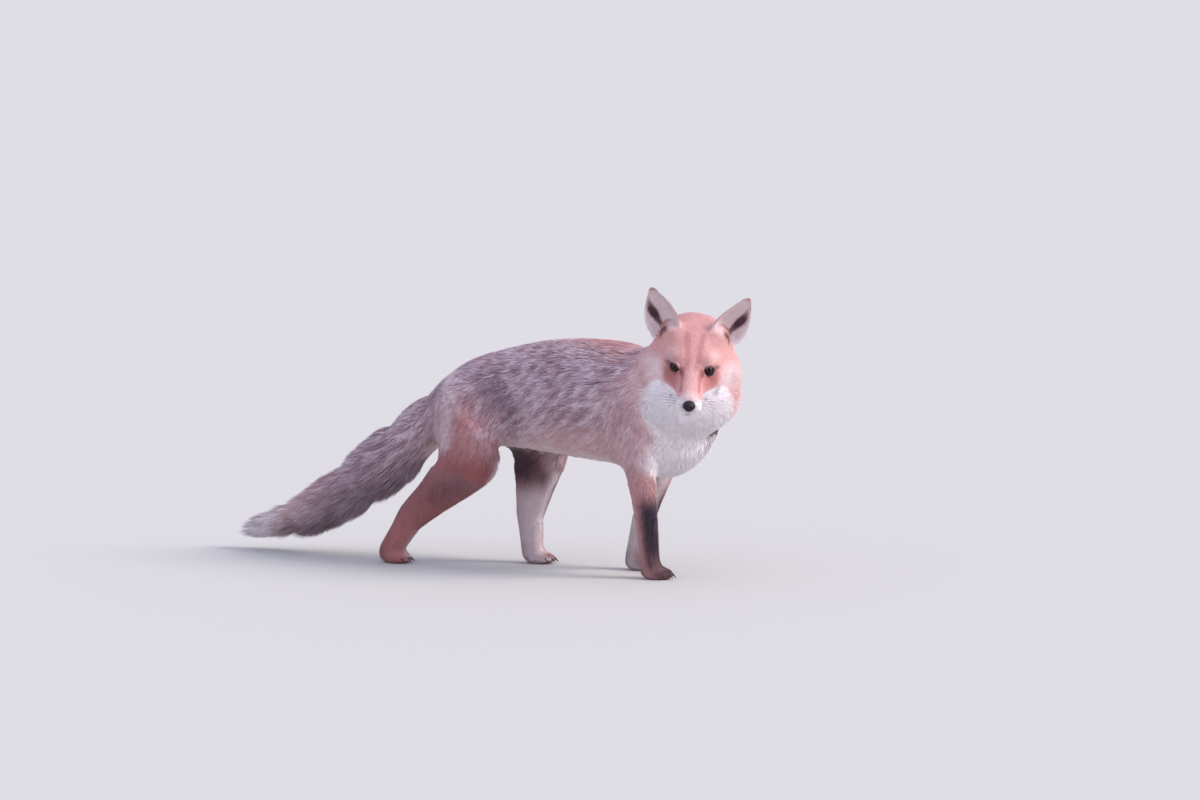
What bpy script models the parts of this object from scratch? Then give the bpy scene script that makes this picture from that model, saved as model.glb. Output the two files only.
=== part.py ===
"""A red fox, life size, standing mid-stride with its head turned to its right.

Metres, +Z up, the fox's body facing +X and its right side facing -Y. The flesh and coat are lofted as one body from
the named stations below, merged, and parted with thin cuts into the nodes that a person would name. The eyes, nose
and ears are solids of their own, set into the head.
"""

import math

import bmesh
import bpy
import numpy as np
from mathutils import Euler, Matrix, Vector

# ---- Driving dimensions -------------------------------------------------------------------------------------------
CUT = 0.0006  # width of the cuts that part the body
CLEARANCE = 0.0003  # gap round a piece that is set into its neighbour
MERGE = 0.00008  # vertices closer than this after a cut become one
VOXEL = 0.0036  # grid that merges the lofts into one skin
BODY_TRIANGLES = 3600

# ---- Trunk: x, top z, bottom z, half width, height of the widest point as a share of the depth ---------------------
TRUNK = [
    (-0.262, 0.262, 0.222, 0.028, 0.50),
    (-0.250, 0.281, 0.198, 0.044, 0.55),
    (-0.222, 0.305, 0.180, 0.059, 0.55),
    (-0.184, 0.327, 0.178, 0.069, 0.52),
    (-0.130, 0.3435, 0.188, 0.068, 0.50),
    (-0.070, 0.358, 0.184, 0.070, 0.48),
    (-0.012, 0.3645, 0.178, 0.076, 0.45),
    (0.048, 0.365, 0.172, 0.079, 0.45),
    (0.104, 0.360, 0.164, 0.077, 0.49),
    (0.150, 0.352, 0.154, 0.074, 0.52),
    (0.184, 0.338, 0.165, 0.064, 0.52),
    (0.214, 0.314, 0.189, 0.049, 0.52),
    (0.236, 0.284, 0.222, 0.026, 0.52),
]

# ---- Head: its own frame has x to the nose, y to its left, z up, and its origin midway between the eyes -------------
HEAD_PLACE = Vector((0.239, -0.085, 0.3375))
HEAD_TURN, HEAD_PITCH, HEAD_ROLL = math.radians(-64), math.radians(23.5), math.radians(-7)

# x, top z, bottom z, half width, height of the widest point as a share of the depth
SKULL = [
    (-0.112, 0.034, -0.046, 0.052, 0.50),
    (-0.094, 0.046, -0.060, 0.060, 0.46),
    (-0.075, 0.0515, -0.066, 0.064, 0.44),
    (-0.055, 0.0505, -0.066, 0.064, 0.42),
    (-0.036, 0.044, -0.063, 0.060, 0.40),
    (-0.018, 0.033, -0.059, 0.053, 0.42),
    (-0.003, 0.021, -0.055, 0.0415, 0.45),
    (0.012, 0.0090, -0.0515, 0.0295, 0.50),
    (0.027, -0.001, -0.0485, 0.0225, 0.50),
    (0.042, -0.0080, -0.0460, 0.0192, 0.48),
    (0.056, -0.0130, -0.0435, 0.0175, 0.46),
    (0.068, -0.0175, -0.0405, 0.0155, 0.46),
    (0.0755, -0.0225, -0.037, 0.0120, 0.48),
]
# x, z, half width of the lower jaw
CHIN = [
    (-0.030, -0.050, 0.030),
    (0.000, -0.049, 0.022),
    (0.030, -0.0465, 0.0145),
    (0.052, -0.0455, 0.0115),
    (0.065, -0.0430, 0.008),
]
CHEEK_PLACE, CHEEK_SIZE = Vector((-0.047, 0.047, -0.032)), Vector((0.040, 0.032, 0.045))
CROWN_PLACE, CROWN_SIZE = Vector((-0.052, 0.031, 0.0285)), Vector((0.030, 0.024, 0.0205))
BROW_PLACE, BROW_SIZE = Vector((-0.010, 0.0215, 0.0130)), Vector((0.019, 0.0165, 0.0095))
LIP_PLACE, LIP_SIZE = Vector((0.058, 0.0118, -0.0350)), Vector((0.018, 0.0100, 0.0095))

EYE_PLACE, EYE_RADIUS = Vector((0.0030, 0.0250, 0.0005)), 0.0090
NOSE_PLACE, NOSE_SIZE = Vector((0.0755, 0.0, -0.0265)), Vector((0.0085, 0.0096, 0.0088))

EAR_BASE, EAR_TIP = Vector((-0.044, 0.042, 0.018)), Vector((-0.060, 0.0755, 0.0995))
EAR_OPENING = Vector((0.84, 0.36, 0.0))  # the way the ear's mouth faces
EAR_WALL = 0.0042
# Share of the ear's length, half width, half angle of the cup's arc
EAR = [
    (0.00, 0.0260, 1.30),
    (0.18, 0.0315, 1.25),
    (0.36, 0.0330, 1.15),
    (0.52, 0.0300, 1.02),
    (0.68, 0.0240, 0.88),
    (0.81, 0.0168, 0.76),
    (0.91, 0.0115, 0.66),
    (0.97, 0.0072, 0.58),
    (1.00, 0.0040, 0.50),
]

# ---- Neck: centre, half width, half height --------------------------------------------------------------------------
NECK = [
    (Vector((0.095, 0.000, 0.270)), 0.066, 0.084),
    (Vector((0.150, -0.004, 0.284)), 0.066, 0.078),
    (Vector((0.190, -0.018, 0.310)), 0.067, 0.074),
    (Vector((0.212, -0.036, 0.336)), 0.065, 0.064),
]
NAPE = [
    (Vector((0.118, 0.000, 0.314)), 0.040, 0.040),
    (Vector((0.155, -0.003, 0.330)), 0.047, 0.044),
    (Vector((0.185, -0.010, 0.347)), 0.049, 0.047),
    (Vector((0.205, -0.022, 0.361)), 0.046, 0.045),
]
RUFF_PLACE, RUFF_SIZE = Vector((0.207, -0.039, 0.286)), Vector((0.052, 0.083, 0.060))

# ---- Legs: each joint is a centre with the half sizes across the body, to the front and to the back ------------------
SHOULDER, HIP = Vector((0.140, 0.046, 0.270)), Vector((-0.196, 0.042, 0.260))
FORELEGS = {  # side: (elbow, wrist, ball of the foot)
    "right": (Vector((0.133, 0.058, 0.190)), Vector((0.143, 0.051, 0.074)), Vector((0.1460, 0.048, 0.0165))),
    "left": (Vector((0.122, 0.058, 0.193)), Vector((0.083, 0.049, 0.080)), Vector((0.070, 0.045, 0.0165))),
}
HINDLEGS = {  # side: (knee, ankle, ball of the foot)
    "right": (Vector((-0.158, 0.063, 0.175)), Vector((-0.2715, 0.055, 0.078)), Vector((-0.316, 0.050, 0.0165))),
    "left": (Vector((-0.092, 0.062, 0.205)), Vector((-0.120, 0.053, 0.083)), Vector((-0.114, 0.050, 0.0165))),
}
SIDE = {"right": -1, "left": 1}

# Half sizes down a bone, from its upper joint to its lower one: across, front, back
UPPER_ARM = [(0.030, 0.046, 0.048), (0.030, 0.040, 0.044), (0.0265, 0.032, 0.035)]
FOREARM = [(0.0245, 0.029, 0.031), (0.0200, 0.0245, 0.0245), (0.0175, 0.0210, 0.0200), (0.0165, 0.0190, 0.0180)]
FOREFOOT = [(0.0165, 0.0190, 0.0180), (0.0160, 0.0175, 0.0170), (0.0175, 0.017, 0.016)]
THIGH = [(0.034, 0.040, 0.040), (0.036, 0.054, 0.054), (0.032, 0.050, 0.050)]
SHANK = {  # the left one is fuller behind, where the hamstring runs down to the straight leg
    "right": [(0.029, 0.050, 0.048), (0.025, 0.042, 0.040), (0.0205, 0.033, 0.030), (0.0180, 0.0265, 0.024)],
    "left": [(0.029, 0.050, 0.062), (0.025, 0.042, 0.055), (0.0205, 0.033, 0.038), (0.0180, 0.0265, 0.024)],
}
HINDFOOT = [(0.0175, 0.0245, 0.0235), (0.0165, 0.0215, 0.0205), (0.0175, 0.0175, 0.018)]
HEEL_RISE, HEEL_BACK, HEEL_RADIUS = 0.016, 0.010, 0.0125

PAW_PAD = Vector((0.021, 0.0175, 0.0150))
TOE_SIZE = Vector((0.0165, 0.0078, 0.0098))
TOES = [(0.017, -0.0142), (0.0245, -0.0050), (0.0245, 0.0050), (0.017, 0.0142)]  # ahead of the ball, and across

# ---- Tail: centre and radius ----------------------------------------------------------------------------------------
TAIL = [
    (Vector((-0.215, 0.000, 0.262)), 0.030),
    (Vector((-0.243, 0.000, 0.240)), 0.0370),
    (Vector((-0.275, 0.000, 0.2140)), 0.0430),
    (Vector((-0.314, 0.001, 0.180)), 0.0470),
    (Vector((-0.355, 0.003, 0.1480)), 0.0485),
    (Vector((-0.392, 0.004, 0.1210)), 0.0475),
    (Vector((-0.430, 0.005, 0.0970)), 0.0450),
    (Vector((-0.484, 0.006, 0.0670)), 0.0405),
    (Vector((-0.537, 0.007, 0.0490)), 0.0295),
    (Vector((-0.582, 0.007, 0.0380)), 0.0190),
    (Vector((-0.610, 0.007, 0.0300)), 0.0100),
]


# ---- Cuts -----------------------------------------------------------------------------------------------------------
HEAD_CUT, HEAD_CUT_NORMAL = Vector((0.203, -0.022, 0.325)), Vector((0.40, -0.78, 0.48))
HEAD_ACROSS, HEAD_CUT_SIZE = Vector((0.899, 0.438, 0)), (0.104, 0.125)
NECK_CUT, NECK_CUT_NORMAL, NECK_CUT_SIZE = (0.176, 0, 0.288), (0.795, 0, 0.605), (0.125, 0.125)
TAIL_CUTS = [  # node, centre, normal, radius, a place beyond the cut
    ("tail_tip", (-0.497, 0.006, 0.062), (-0.92, 0, -0.38), 0.055, (-0.57, 0, 0.04)),
    ("tail_middle", (-0.385, 0.004, 0.126), (-0.81, 0, -0.585), 0.062, (-0.44, 0, 0.09)),
    ("tail_root", (-0.288, 0.000, 0.203), (-0.76, 0, -0.65), 0.058, (-0.33, 0, 0.17)),
]
LEG_CUTS = {  # on the left side: node, centre, normal (towards the body), half sizes across and along
    "right": [
        ("forefoot", Vector((0.1435, 0.0505, 0.068)), Vector((0, 0, 1)), (0.030, 0.034)),
        ("forearm", Vector((0.134, 0.058, 0.172)), Vector((0, -0.5, 0.857)), (0.040, 0.046)),
        ("hindfoot", Vector((-0.277, 0.0545, 0.074)), Vector((0.55, 0, 0.83)), (0.034, 0.042)),
        ("shank", Vector((-0.188, 0.061, 0.156)), Vector((0.35, -0.2, 0.91)), (0.036, 0.070)),
    ],
    "left": [
        ("forefoot", Vector((0.0810, 0.0485, 0.072)), Vector((0.25, 0, 1)), (0.030, 0.034)),
        ("forearm", Vector((0.117, 0.058, 0.172)), Vector((0, -0.5, 0.857)), (0.040, 0.048)),
        ("hindfoot", Vector((-0.1195, 0.053, 0.078)), Vector((0, 0, 1)), (0.036, 0.044)),
        ("shank", Vector((-0.103, 0.059, 0.164)), Vector((0.1, -0.2, 1)), (0.036, 0.068)),
    ],
}
BOWLS = {  # on the left side: node, centre, half sizes
    "right": [
        ("thigh", Vector((-0.180, 0.085, 0.195)), Vector((0.095, 0.060, 0.118))),
        ("upper_arm", Vector((0.133, 0.090, 0.215)), Vector((0.064, 0.062, 0.115))),
    ],
    "left": [
        ("thigh", Vector((-0.145, 0.085, 0.205)), Vector((0.105, 0.060, 0.110))),
        ("upper_arm", Vector((0.130, 0.090, 0.215)), Vector((0.064, 0.062, 0.115))),
    ],
}


# ---- Shape helpers --------------------------------------------------------------------------------------------------
def clear_scene():
    for obj in list(bpy.data.objects):
        bpy.data.objects.remove(obj)


def smooth_rows(rows, steps):
    """Rows of numbers, with `steps` rows put in each gap on a Catmull-Rom curve through them."""
    rows = np.array(rows, float)
    padded = np.vstack([2 * rows[0] - rows[1], rows, 2 * rows[-1] - rows[-2]])
    filled = []
    for before, start, end, after in zip(padded, padded[1:], padded[2:], padded[3:]):
        for t in np.arange(steps) / steps:
            filled.append(
                0.5
                * (
                    2 * start
                    + (end - before) * t
                    + (2 * before - 5 * start + 4 * end - after) * t**2
                    + (3 * start - before - 3 * end + after) * t**3
                )
            )
    return np.array(filled + [rows[-1]])


def loft(rings):
    """A closed mesh through rings of points, with a pole at each end."""
    mesh = bmesh.new()
    loops = [[mesh.verts.new(p) for p in ring] for ring in rings]
    count = len(loops[0])
    for lower, upper in zip(loops, loops[1:]):
        for i in range(count):
            j = (i + 1) % count
            mesh.faces.new((lower[i], lower[j], upper[j], upper[i]))
    for loop in (loops[0][::-1], loops[-1]):
        pole = mesh.verts.new(sum((v.co for v in loop), Vector()) / count)
        for i in range(count):
            mesh.faces.new((loop[i], loop[(i + 1) % count], pole))
    bmesh.ops.recalc_face_normals(mesh, faces=mesh.faces)
    return mesh


def oval(centre, across, up, half_across, half_up, half_down, sides=28):
    """A ring of points round an oval whose upper and lower halves differ."""
    ring = []
    for i in range(sides):
        angle = 2 * math.pi * i / sides
        rise = half_up if math.sin(angle) > 0 else half_down
        ring.append(centre + across * (half_across * math.cos(angle)) + up * (rise * math.sin(angle)))
    return ring


def rounded_ends(rows, shares=(0.35, 0.72, 0.93)):
    """Adds rings past both ends of a tube's rows (x, y, z, half sizes ...), so that it ends in a dome."""
    rows = [np.array(row, float) for row in rows]

    def dome(end, inner):
        way = end[:3] - inner[:3]
        way = way / np.linalg.norm(way)
        reach = end[3:].mean()
        return [
            np.concatenate([end[:3] + way * reach * math.sqrt(1 - share**2), end[3:] * share]) for share in shares
        ]

    return np.array(dome(rows[0], rows[1]) + rows + dome(rows[-1], rows[-2])[::-1])


def tube(stations, across, steps=5):
    """A domed tube. Each station is (centre, half across, half front, half back); `across` is the sideways axis."""
    rows = smooth_rows([(*centre, *halves) for centre, *halves in stations], steps)
    rows = rounded_ends(rows)
    centres = [Vector(row[:3]) for row in rows]
    rings = []
    for i, row in enumerate(rows):
        along = centres[min(i + 1, len(rows) - 1)] - centres[max(i - 1, 0)]
        side = (across - along * (across.dot(along) / along.length_squared)).normalized()
        front = side.cross(along).normalized()
        rings.append(oval(centres[i], side, front, *row[3:]))
    return loft(rings)


def profile(stations, steps=5):
    """A form along x from rows of (x, top z, bottom z, half width, height of the widest point)."""
    rings = []
    for x, top, bottom, half_width, widest in smooth_rows(stations, steps):
        middle = bottom + (top - bottom) * widest
        rings.append(
            oval(Vector((x, 0, middle)), Vector((0, 1, 0)), Vector((0, 0, 1)), half_width, top - middle, middle - bottom)
        )
    return loft(rings)


def ball(centre, size, turn=None, segments=24):
    """An ellipsoid with the half sizes `size`, turned by a matrix."""
    mesh = bmesh.new()
    bmesh.ops.create_uvsphere(mesh, u_segments=segments, v_segments=segments * 2 // 3, radius=1.0)
    placed = Matrix.Translation(centre) @ (turn or Matrix.Identity(4)) @ Matrix.Diagonal((*size, 1))
    bmesh.ops.transform(mesh, matrix=placed, verts=mesh.verts)
    return mesh


def mirrored(place, side):
    """A left-hand place, on the side asked for."""
    return Vector((place.x, place.y * side, place.z))


def add_object(name, pieces, matrix=None):
    """One object that holds these bmeshes."""
    mesh = bpy.data.meshes.new(name)
    joined = bmesh.new()
    for piece in pieces:
        part = bpy.data.meshes.new("piece")
        piece.to_mesh(part)
        piece.free()
        joined.from_mesh(part)
        bpy.data.meshes.remove(part)
    if matrix is not None:
        bmesh.ops.transform(joined, matrix=matrix, verts=joined.verts)
    joined.to_mesh(mesh)
    joined.free()
    obj = bpy.data.objects.new(name, mesh)
    bpy.context.scene.collection.objects.link(obj)
    return obj


def apply_modifiers(obj):
    bpy.context.view_layer.update()
    made = bpy.data.meshes.new_from_object(obj.evaluated_get(bpy.context.evaluated_depsgraph_get()))
    obj.modifiers.clear()
    obj.data = made


def boolean(obj, other, operation="DIFFERENCE"):
    """Applies a Boolean with another object, and removes that object."""
    modifier = obj.modifiers.new("cut", "BOOLEAN")
    modifier.object, modifier.operation, modifier.solver = other, operation, "EXACT"
    apply_modifiers(obj)
    bpy.data.objects.remove(other)
    mesh = bmesh.new()
    mesh.from_mesh(obj.data)
    bmesh.ops.remove_doubles(mesh, verts=mesh.verts, dist=MERGE)
    bmesh.ops.dissolve_degenerate(mesh, edges=mesh.edges, dist=MERGE)
    bmesh.ops.triangulate(mesh, faces=[face for face in mesh.faces if len(face.verts) > 3])
    mesh.to_mesh(obj.data)
    mesh.free()


# ---- The head's frame -----------------------------------------------------------------------------------------------
HEAD = Matrix.Translation(HEAD_PLACE) @ Euler((HEAD_ROLL, HEAD_PITCH, HEAD_TURN), "XYZ").to_matrix().to_4x4()


# ---- Forms of the body ----------------------------------------------------------------------------------------------
def head_forms():
    forms = [profile(SKULL)]
    forms.append(tube([(Vector((x, 0, z)), width, 0.009, 0.009) for x, z, width in CHIN], Vector((0, 1, 0))))
    for side in SIDE.values():
        forms.append(ball(mirrored(CHEEK_PLACE, side), CHEEK_SIZE))
        forms.append(ball(mirrored(CROWN_PLACE, side), CROWN_SIZE))
        forms.append(ball(mirrored(BROW_PLACE, side), BROW_SIZE))
        forms.append(ball(mirrored(LIP_PLACE, side), LIP_SIZE))
    for form in forms:
        bmesh.ops.transform(form, matrix=HEAD, verts=form.verts)
    forms.append(ball(RUFF_PLACE, RUFF_SIZE, Matrix.Rotation(HEAD_TURN, 4, "Z")))
    return forms


def ear_form(side, grow=0.0):
    """A cupped ear in the head's frame, or the same ear grown outward to make its socket."""
    base, tip = mirrored(EAR_BASE, side), mirrored(EAR_TIP, side)
    along = (tip - base).normalized()
    opening = mirrored(EAR_OPENING, side)
    opening = (opening - along * opening.dot(along)).normalized()
    across = along.cross(opening)
    rings = []
    for share, half_width, arc in smooth_rows(EAR, 1):
        radius = half_width / math.sin(arc)
        wall = min(EAR_WALL, half_width)
        centre = base.lerp(tip, share) + opening * (radius * math.cos(arc))
        if share == 0:
            centre -= along * grow
        edge = arc + 1.5 * grow / radius
        outer = [(radius + grow, edge * turn / 5) for turn in range(-5, 6)]
        inner = [(radius - wall - grow, edge * 0.94 * turn / 4) for turn in range(4, -5, -1)]
        ring = [centre + across * (r * math.sin(t)) - opening * (r * math.cos(t)) for r, t in outer + inner]
        rings.append(ring)
    form = loft(rings)
    bmesh.ops.transform(form, matrix=HEAD, verts=form.verts)
    return form


def eye_form(side, grow=0.0):
    return ball(HEAD @ mirrored(EYE_PLACE, side), [EYE_RADIUS + grow] * 3, HEAD.to_3x3().to_4x4(), 14)


def nose_form(grow=0.0):
    return ball(HEAD @ NOSE_PLACE, [half + grow for half in NOSE_SIZE], HEAD.to_3x3().to_4x4(), 14)


def bone(start, end, halves, side):
    """A tube from joint to joint through the half sizes given."""
    start, end = mirrored(start, side), mirrored(end, side)
    stations = [(start.lerp(end, i / (len(halves) - 1)), *half) for i, half in enumerate(halves)]
    return tube(stations, Vector((0, -1, 0)), steps=4)


def paw_forms(paw, side):
    """The pad and four toes of a paw whose ball is at `paw`, pointing forward."""
    centre = mirrored(paw, side)
    forms = [ball(centre + Vector((0.004, 0, -0.004)), PAW_PAD)]
    for ahead, aside in TOES:
        forms.append(ball(centre + Vector((ahead, aside, -0.0085)), TOE_SIZE))
    return forms


def leg_forms():
    forms = []
    for name, (elbow, wrist, paw) in FORELEGS.items():
        side = SIDE[name]
        forms += [bone(SHOULDER, elbow, UPPER_ARM, side), bone(elbow, wrist, FOREARM, side)]
        forms += [bone(wrist, paw, FOREFOOT, side), *paw_forms(paw, side)]
    for name, (knee, ankle, paw) in HINDLEGS.items():
        side = SIDE[name]
        forms += [bone(HIP, knee, THIGH, side), bone(knee, ankle, SHANK[name], side)]
        forms += [bone(ankle, paw, HINDFOOT, side), *paw_forms(paw, side)]
        up_foot = (ankle - paw).normalized()
        heel = ankle + up_foot * HEEL_RISE + Vector((-HEEL_BACK, 0, 0))
        tendon = [(0.011, 0.0115, 0.0115), (0.012, 0.0130, 0.0120), (0.016, 0.020, 0.018)]
        forms.append(bone(heel, ankle.lerp(knee, 0.55), tendon, side))
        forms.append(ball(mirrored(heel, side), (HEEL_RADIUS, HEEL_RADIUS * 0.85, HEEL_RADIUS)))
    return forms


def ramp(value, low, high):
    """0 below `low`, 1 above `high`, and even in between."""
    return min(1.0, max(0.0, (value - low) / (high - low)))


def blending(point):
    """How much the joints between the forms are smoothed: most on the body, least on the muzzle and feet."""
    face = HEAD.inverted() @ point
    near_face = 1 - ramp((face - Vector((0.030, 0, -0.02))).length, 0.040, 0.065)
    thin_tail = 1 - ramp(point.x, -0.56, -0.46)
    low = 1 - ramp(point.z, 0.10, 0.17)
    low = low * ramp(point.x, -0.36, -0.33)
    return 1.0 - 0.84 * max(near_face, thin_tail, low)


def body():
    """The whole body as one smooth closed mesh."""
    forms = [profile(TRUNK)]
    for line in (NECK, NAPE):
        forms.append(tube([(c, w, h, h) for c, w, h in line], Vector((0, -1, 0))))
    forms.append(tube([(c, r, r, r) for c, r in TAIL], Vector((0, -1, 0))))
    forms += head_forms() + leg_forms()
    whole = add_object("body", forms)
    remesh = whole.modifiers.new("merge", "REMESH")
    remesh.mode, remesh.voxel_size, remesh.adaptivity = "VOXEL", VOXEL, 0
    apply_modifiers(whole)
    soft = whole.vertex_groups.new(name="soft")
    for vertex in whole.data.vertices:
        soft.add([vertex.index], blending(vertex.co), "REPLACE")
    smooth = whole.modifiers.new("smooth", "SMOOTH")
    smooth.factor, smooth.iterations, smooth.vertex_group = 0.5, 30, soft.name
    apply_modifiers(whole)
    return whole


# ---- Parting the body -----------------------------------------------------------------------------------------------
def plate(centre, normal, across, half_across, half_along):
    """A thin oval plate: `across` is one of its axes, and the other is at a right angle to it."""
    normal = Vector(normal).normalized()
    across = Vector(across)
    across = (across - normal * across.dot(normal)).normalized()
    along = normal.cross(across)
    mesh = bmesh.new()
    bmesh.ops.create_cone(mesh, cap_ends=True, segments=32, radius1=1, radius2=1, depth=CUT)
    for vertex in mesh.verts:
        x, y, z = vertex.co
        vertex.co = Vector(centre) + across * (x * half_across) + along * (y * half_along) + normal * z
    return mesh


def bowl(centre, size):
    """A thin closed shell in the shape of an ellipsoid."""
    mesh = bmesh.new()
    bmesh.ops.create_icosphere(mesh, subdivisions=2, radius=1.0)
    inner = bmesh.ops.duplicate(mesh, geom=mesh.verts[:] + mesh.edges[:] + mesh.faces[:])["geom"]
    inner_faces = [item for item in inner if isinstance(item, bmesh.types.BMFace)]
    inner_verts = [item for item in inner if isinstance(item, bmesh.types.BMVert)]
    bmesh.ops.reverse_faces(mesh, faces=inner_faces)
    for vertex in inner_verts:
        vertex.co *= 1 - CUT / min(size)
    for vertex in mesh.verts:
        vertex.co = Vector([c + v * s for c, v, s in zip(centre, vertex.co, size)])
    return mesh


def loose_parts(obj):
    """Splits an object into its separate shells, largest first."""
    mesh = bmesh.new()
    mesh.from_mesh(obj.data)
    mesh.verts.ensure_lookup_table()
    group = {}
    for seed in mesh.verts:
        if seed.index in group:
            continue
        group[seed.index] = seed.index
        reached = [seed]
        while reached:
            vertex = reached.pop()
            for edge in vertex.link_edges:
                other = edge.other_vert(vertex)
                if other.index not in group:
                    group[other.index] = seed.index
                    reached.append(other)
    mesh.free()
    shells = []
    for start in sorted(set(group.values())):
        part = bmesh.new()
        part.from_mesh(obj.data)
        part.verts.ensure_lookup_table()
        spare = [vertex for vertex in part.verts if group[vertex.index] != start]
        bmesh.ops.delete(part, geom=spare, context="VERTS")
        shells.append((part.calc_volume(), add_object("shell", [part])))
    bpy.data.objects.remove(obj)
    return [shell for _, shell in sorted(shells, key=lambda pair: -pair[0])]


def middle(obj):
    points = [vertex.co for vertex in obj.data.vertices]
    return sum(points, Vector()) / len(points)


def part_off(obj, cutter, name, towards):
    """Cuts an object in two; the piece nearer `towards` takes the name, and the other piece is returned."""
    boolean(obj, add_object("cutter", [cutter]))
    first, second, *slivers = loose_parts(obj)
    for sliver in slivers:
        bpy.data.objects.remove(sliver)
    pair = sorted([first, second], key=lambda piece: (middle(piece) - Vector(towards)).length)
    pair[0].name = name
    return pair[1]


def socket(obj, form):
    boolean(obj, add_object("cutter", [form]))


def floor_block():
    mesh = bmesh.new()
    bmesh.ops.create_cube(mesh, size=2.0)
    bmesh.ops.translate(mesh, vec=(0, 0, -1), verts=mesh.verts)
    return mesh


def part_the_body(whole):
    side_on = (0, 1, 0)
    rest = part_off(whole, plate(HEAD_CUT, HEAD_CUT_NORMAL, HEAD_ACROSS, *HEAD_CUT_SIZE), "head", HEAD_PLACE)
    for name, centre, normal, radius, beyond in TAIL_CUTS:
        piece = plate(centre, normal, side_on, radius, radius)
        rest = part_off(rest, piece, name, beyond)
    for side_name, side in SIDE.items():
        for name, centre, normal, size in LEG_CUTS[side_name]:
            centre, normal = mirrored(centre, side), mirrored(normal, side)
            beyond = centre - normal * 0.05
            rest = part_off(rest, plate(centre, normal, side_on, *size), name + "_" + side_name, beyond)
        for name, centre, size in BOWLS[side_name]:
            centre = mirrored(centre, side)
            rest = part_off(rest, bowl(centre, size), name + "_" + side_name, centre)
    rest = part_off(rest, plate(NECK_CUT, NECK_CUT_NORMAL, side_on, *NECK_CUT_SIZE), "neck", HEAD_PLACE)
    rest.name = "trunk"


# ---- Surfaces -------------------------------------------------------------------------------------------------------
COLOURS = {  # the start of a node's name: colour, roughness
    "eye": ((0.26, 0.11, 0.030), 0.10),
    "nose": ((0.020, 0.017, 0.020), 0.40),
    "ear": ((0.42, 0.27, 0.19), 0.90),
    "head": ((0.55, 0.27, 0.13), 0.90),
    "neck": ((0.50, 0.36, 0.26), 0.90),
    "trunk": ((0.33, 0.21, 0.14), 0.90),
    "upper_arm": ((0.40, 0.22, 0.13), 0.90),
    "thigh": ((0.27, 0.14, 0.085), 0.90),
    "shank": ((0.24, 0.085, 0.045), 0.90),
    "hindfoot": ((0.26, 0.085, 0.045), 0.90),
    "forearm": ((0.23, 0.12, 0.075), 0.90),
    "forefoot": ((0.035, 0.026, 0.028), 0.90),
    "tail_tip": ((0.52, 0.43, 0.37), 0.90),
    "tail": ((0.19, 0.125, 0.095), 0.90),
}


def paint(obj):
    start = next(start for start in COLOURS if obj.name.startswith(start))
    colour, roughness = COLOURS[start]
    material = bpy.data.materials.new(obj.name)
    material.use_nodes = True
    shader = material.node_tree.nodes["Principled BSDF"]
    shader.inputs["Base Color"].default_value = (*colour, 1)
    shader.inputs["Roughness"].default_value = roughness
    material.diffuse_color = (*colour, 1)
    obj.data.materials.clear()
    obj.data.materials.append(material)
    for face in obj.data.polygons:
        face.use_smooth = True


def centre_on_the_floor(objects):
    """Moves everything so that the middle of the whole box is at x = y = 0; the soles are at z = 0 already."""
    points = np.array([vertex.co for obj in objects for vertex in obj.data.vertices])
    offset = (points.min(axis=0) + points.max(axis=0)) / 2
    for obj in objects:
        obj.data.transform(Matrix.Translation((-offset[0], -offset[1], 0)))


clear_scene()
fox = body()
slim = fox.modifiers.new("slim", "DECIMATE")
slim.ratio = BODY_TRIANGLES / (2 * len(fox.data.polygons))
apply_modifiers(fox)
boolean(fox, add_object("floor", [floor_block()]))
part_the_body(fox)
head = bpy.data.objects["head"]
for side_name, way in SIDE.items():
    socket(head, ear_form(way, CLEARANCE))
    socket(head, eye_form(way, CLEARANCE))
    add_object("ear_" + side_name, [ear_form(way)])
    add_object("eye_" + side_name, [eye_form(way)])
socket(head, nose_form(CLEARANCE))
add_object("nose", [nose_form()])
centre_on_the_floor(list(bpy.data.objects))
for node in bpy.data.objects:
    paint(node)
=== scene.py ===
"""A still, life-size red fox: its skin, coat, eyes, nose, claws and whiskers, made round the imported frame.

Metres, +Z up, the body facing +X. The skin is the frame's flesh merged and drawn in by the depth of the coat.
The coat is closed, tapered locks rooted on that skin, whose tips come back out to the frame's own outline.
"""

import math
from functools import partial

import bpy
import numpy as np
from mathutils import Matrix, Vector
from mathutils.bvhtree import BVHTree


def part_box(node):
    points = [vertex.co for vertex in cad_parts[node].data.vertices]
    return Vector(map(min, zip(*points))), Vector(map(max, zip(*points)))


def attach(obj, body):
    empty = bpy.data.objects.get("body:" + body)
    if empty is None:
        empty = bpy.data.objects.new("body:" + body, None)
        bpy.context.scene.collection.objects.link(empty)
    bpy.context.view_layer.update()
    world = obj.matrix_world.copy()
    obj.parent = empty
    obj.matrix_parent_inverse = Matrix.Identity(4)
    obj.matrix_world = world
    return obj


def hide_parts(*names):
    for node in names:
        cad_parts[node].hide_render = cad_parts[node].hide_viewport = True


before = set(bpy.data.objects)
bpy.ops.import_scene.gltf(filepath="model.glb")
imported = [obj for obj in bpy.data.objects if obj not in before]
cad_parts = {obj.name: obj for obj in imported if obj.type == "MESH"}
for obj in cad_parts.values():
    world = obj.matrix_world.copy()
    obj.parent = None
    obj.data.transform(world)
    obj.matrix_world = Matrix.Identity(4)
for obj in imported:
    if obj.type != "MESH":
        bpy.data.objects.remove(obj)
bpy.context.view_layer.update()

MM = 0.001
RANDOM = np.random.default_rng(7)

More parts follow.
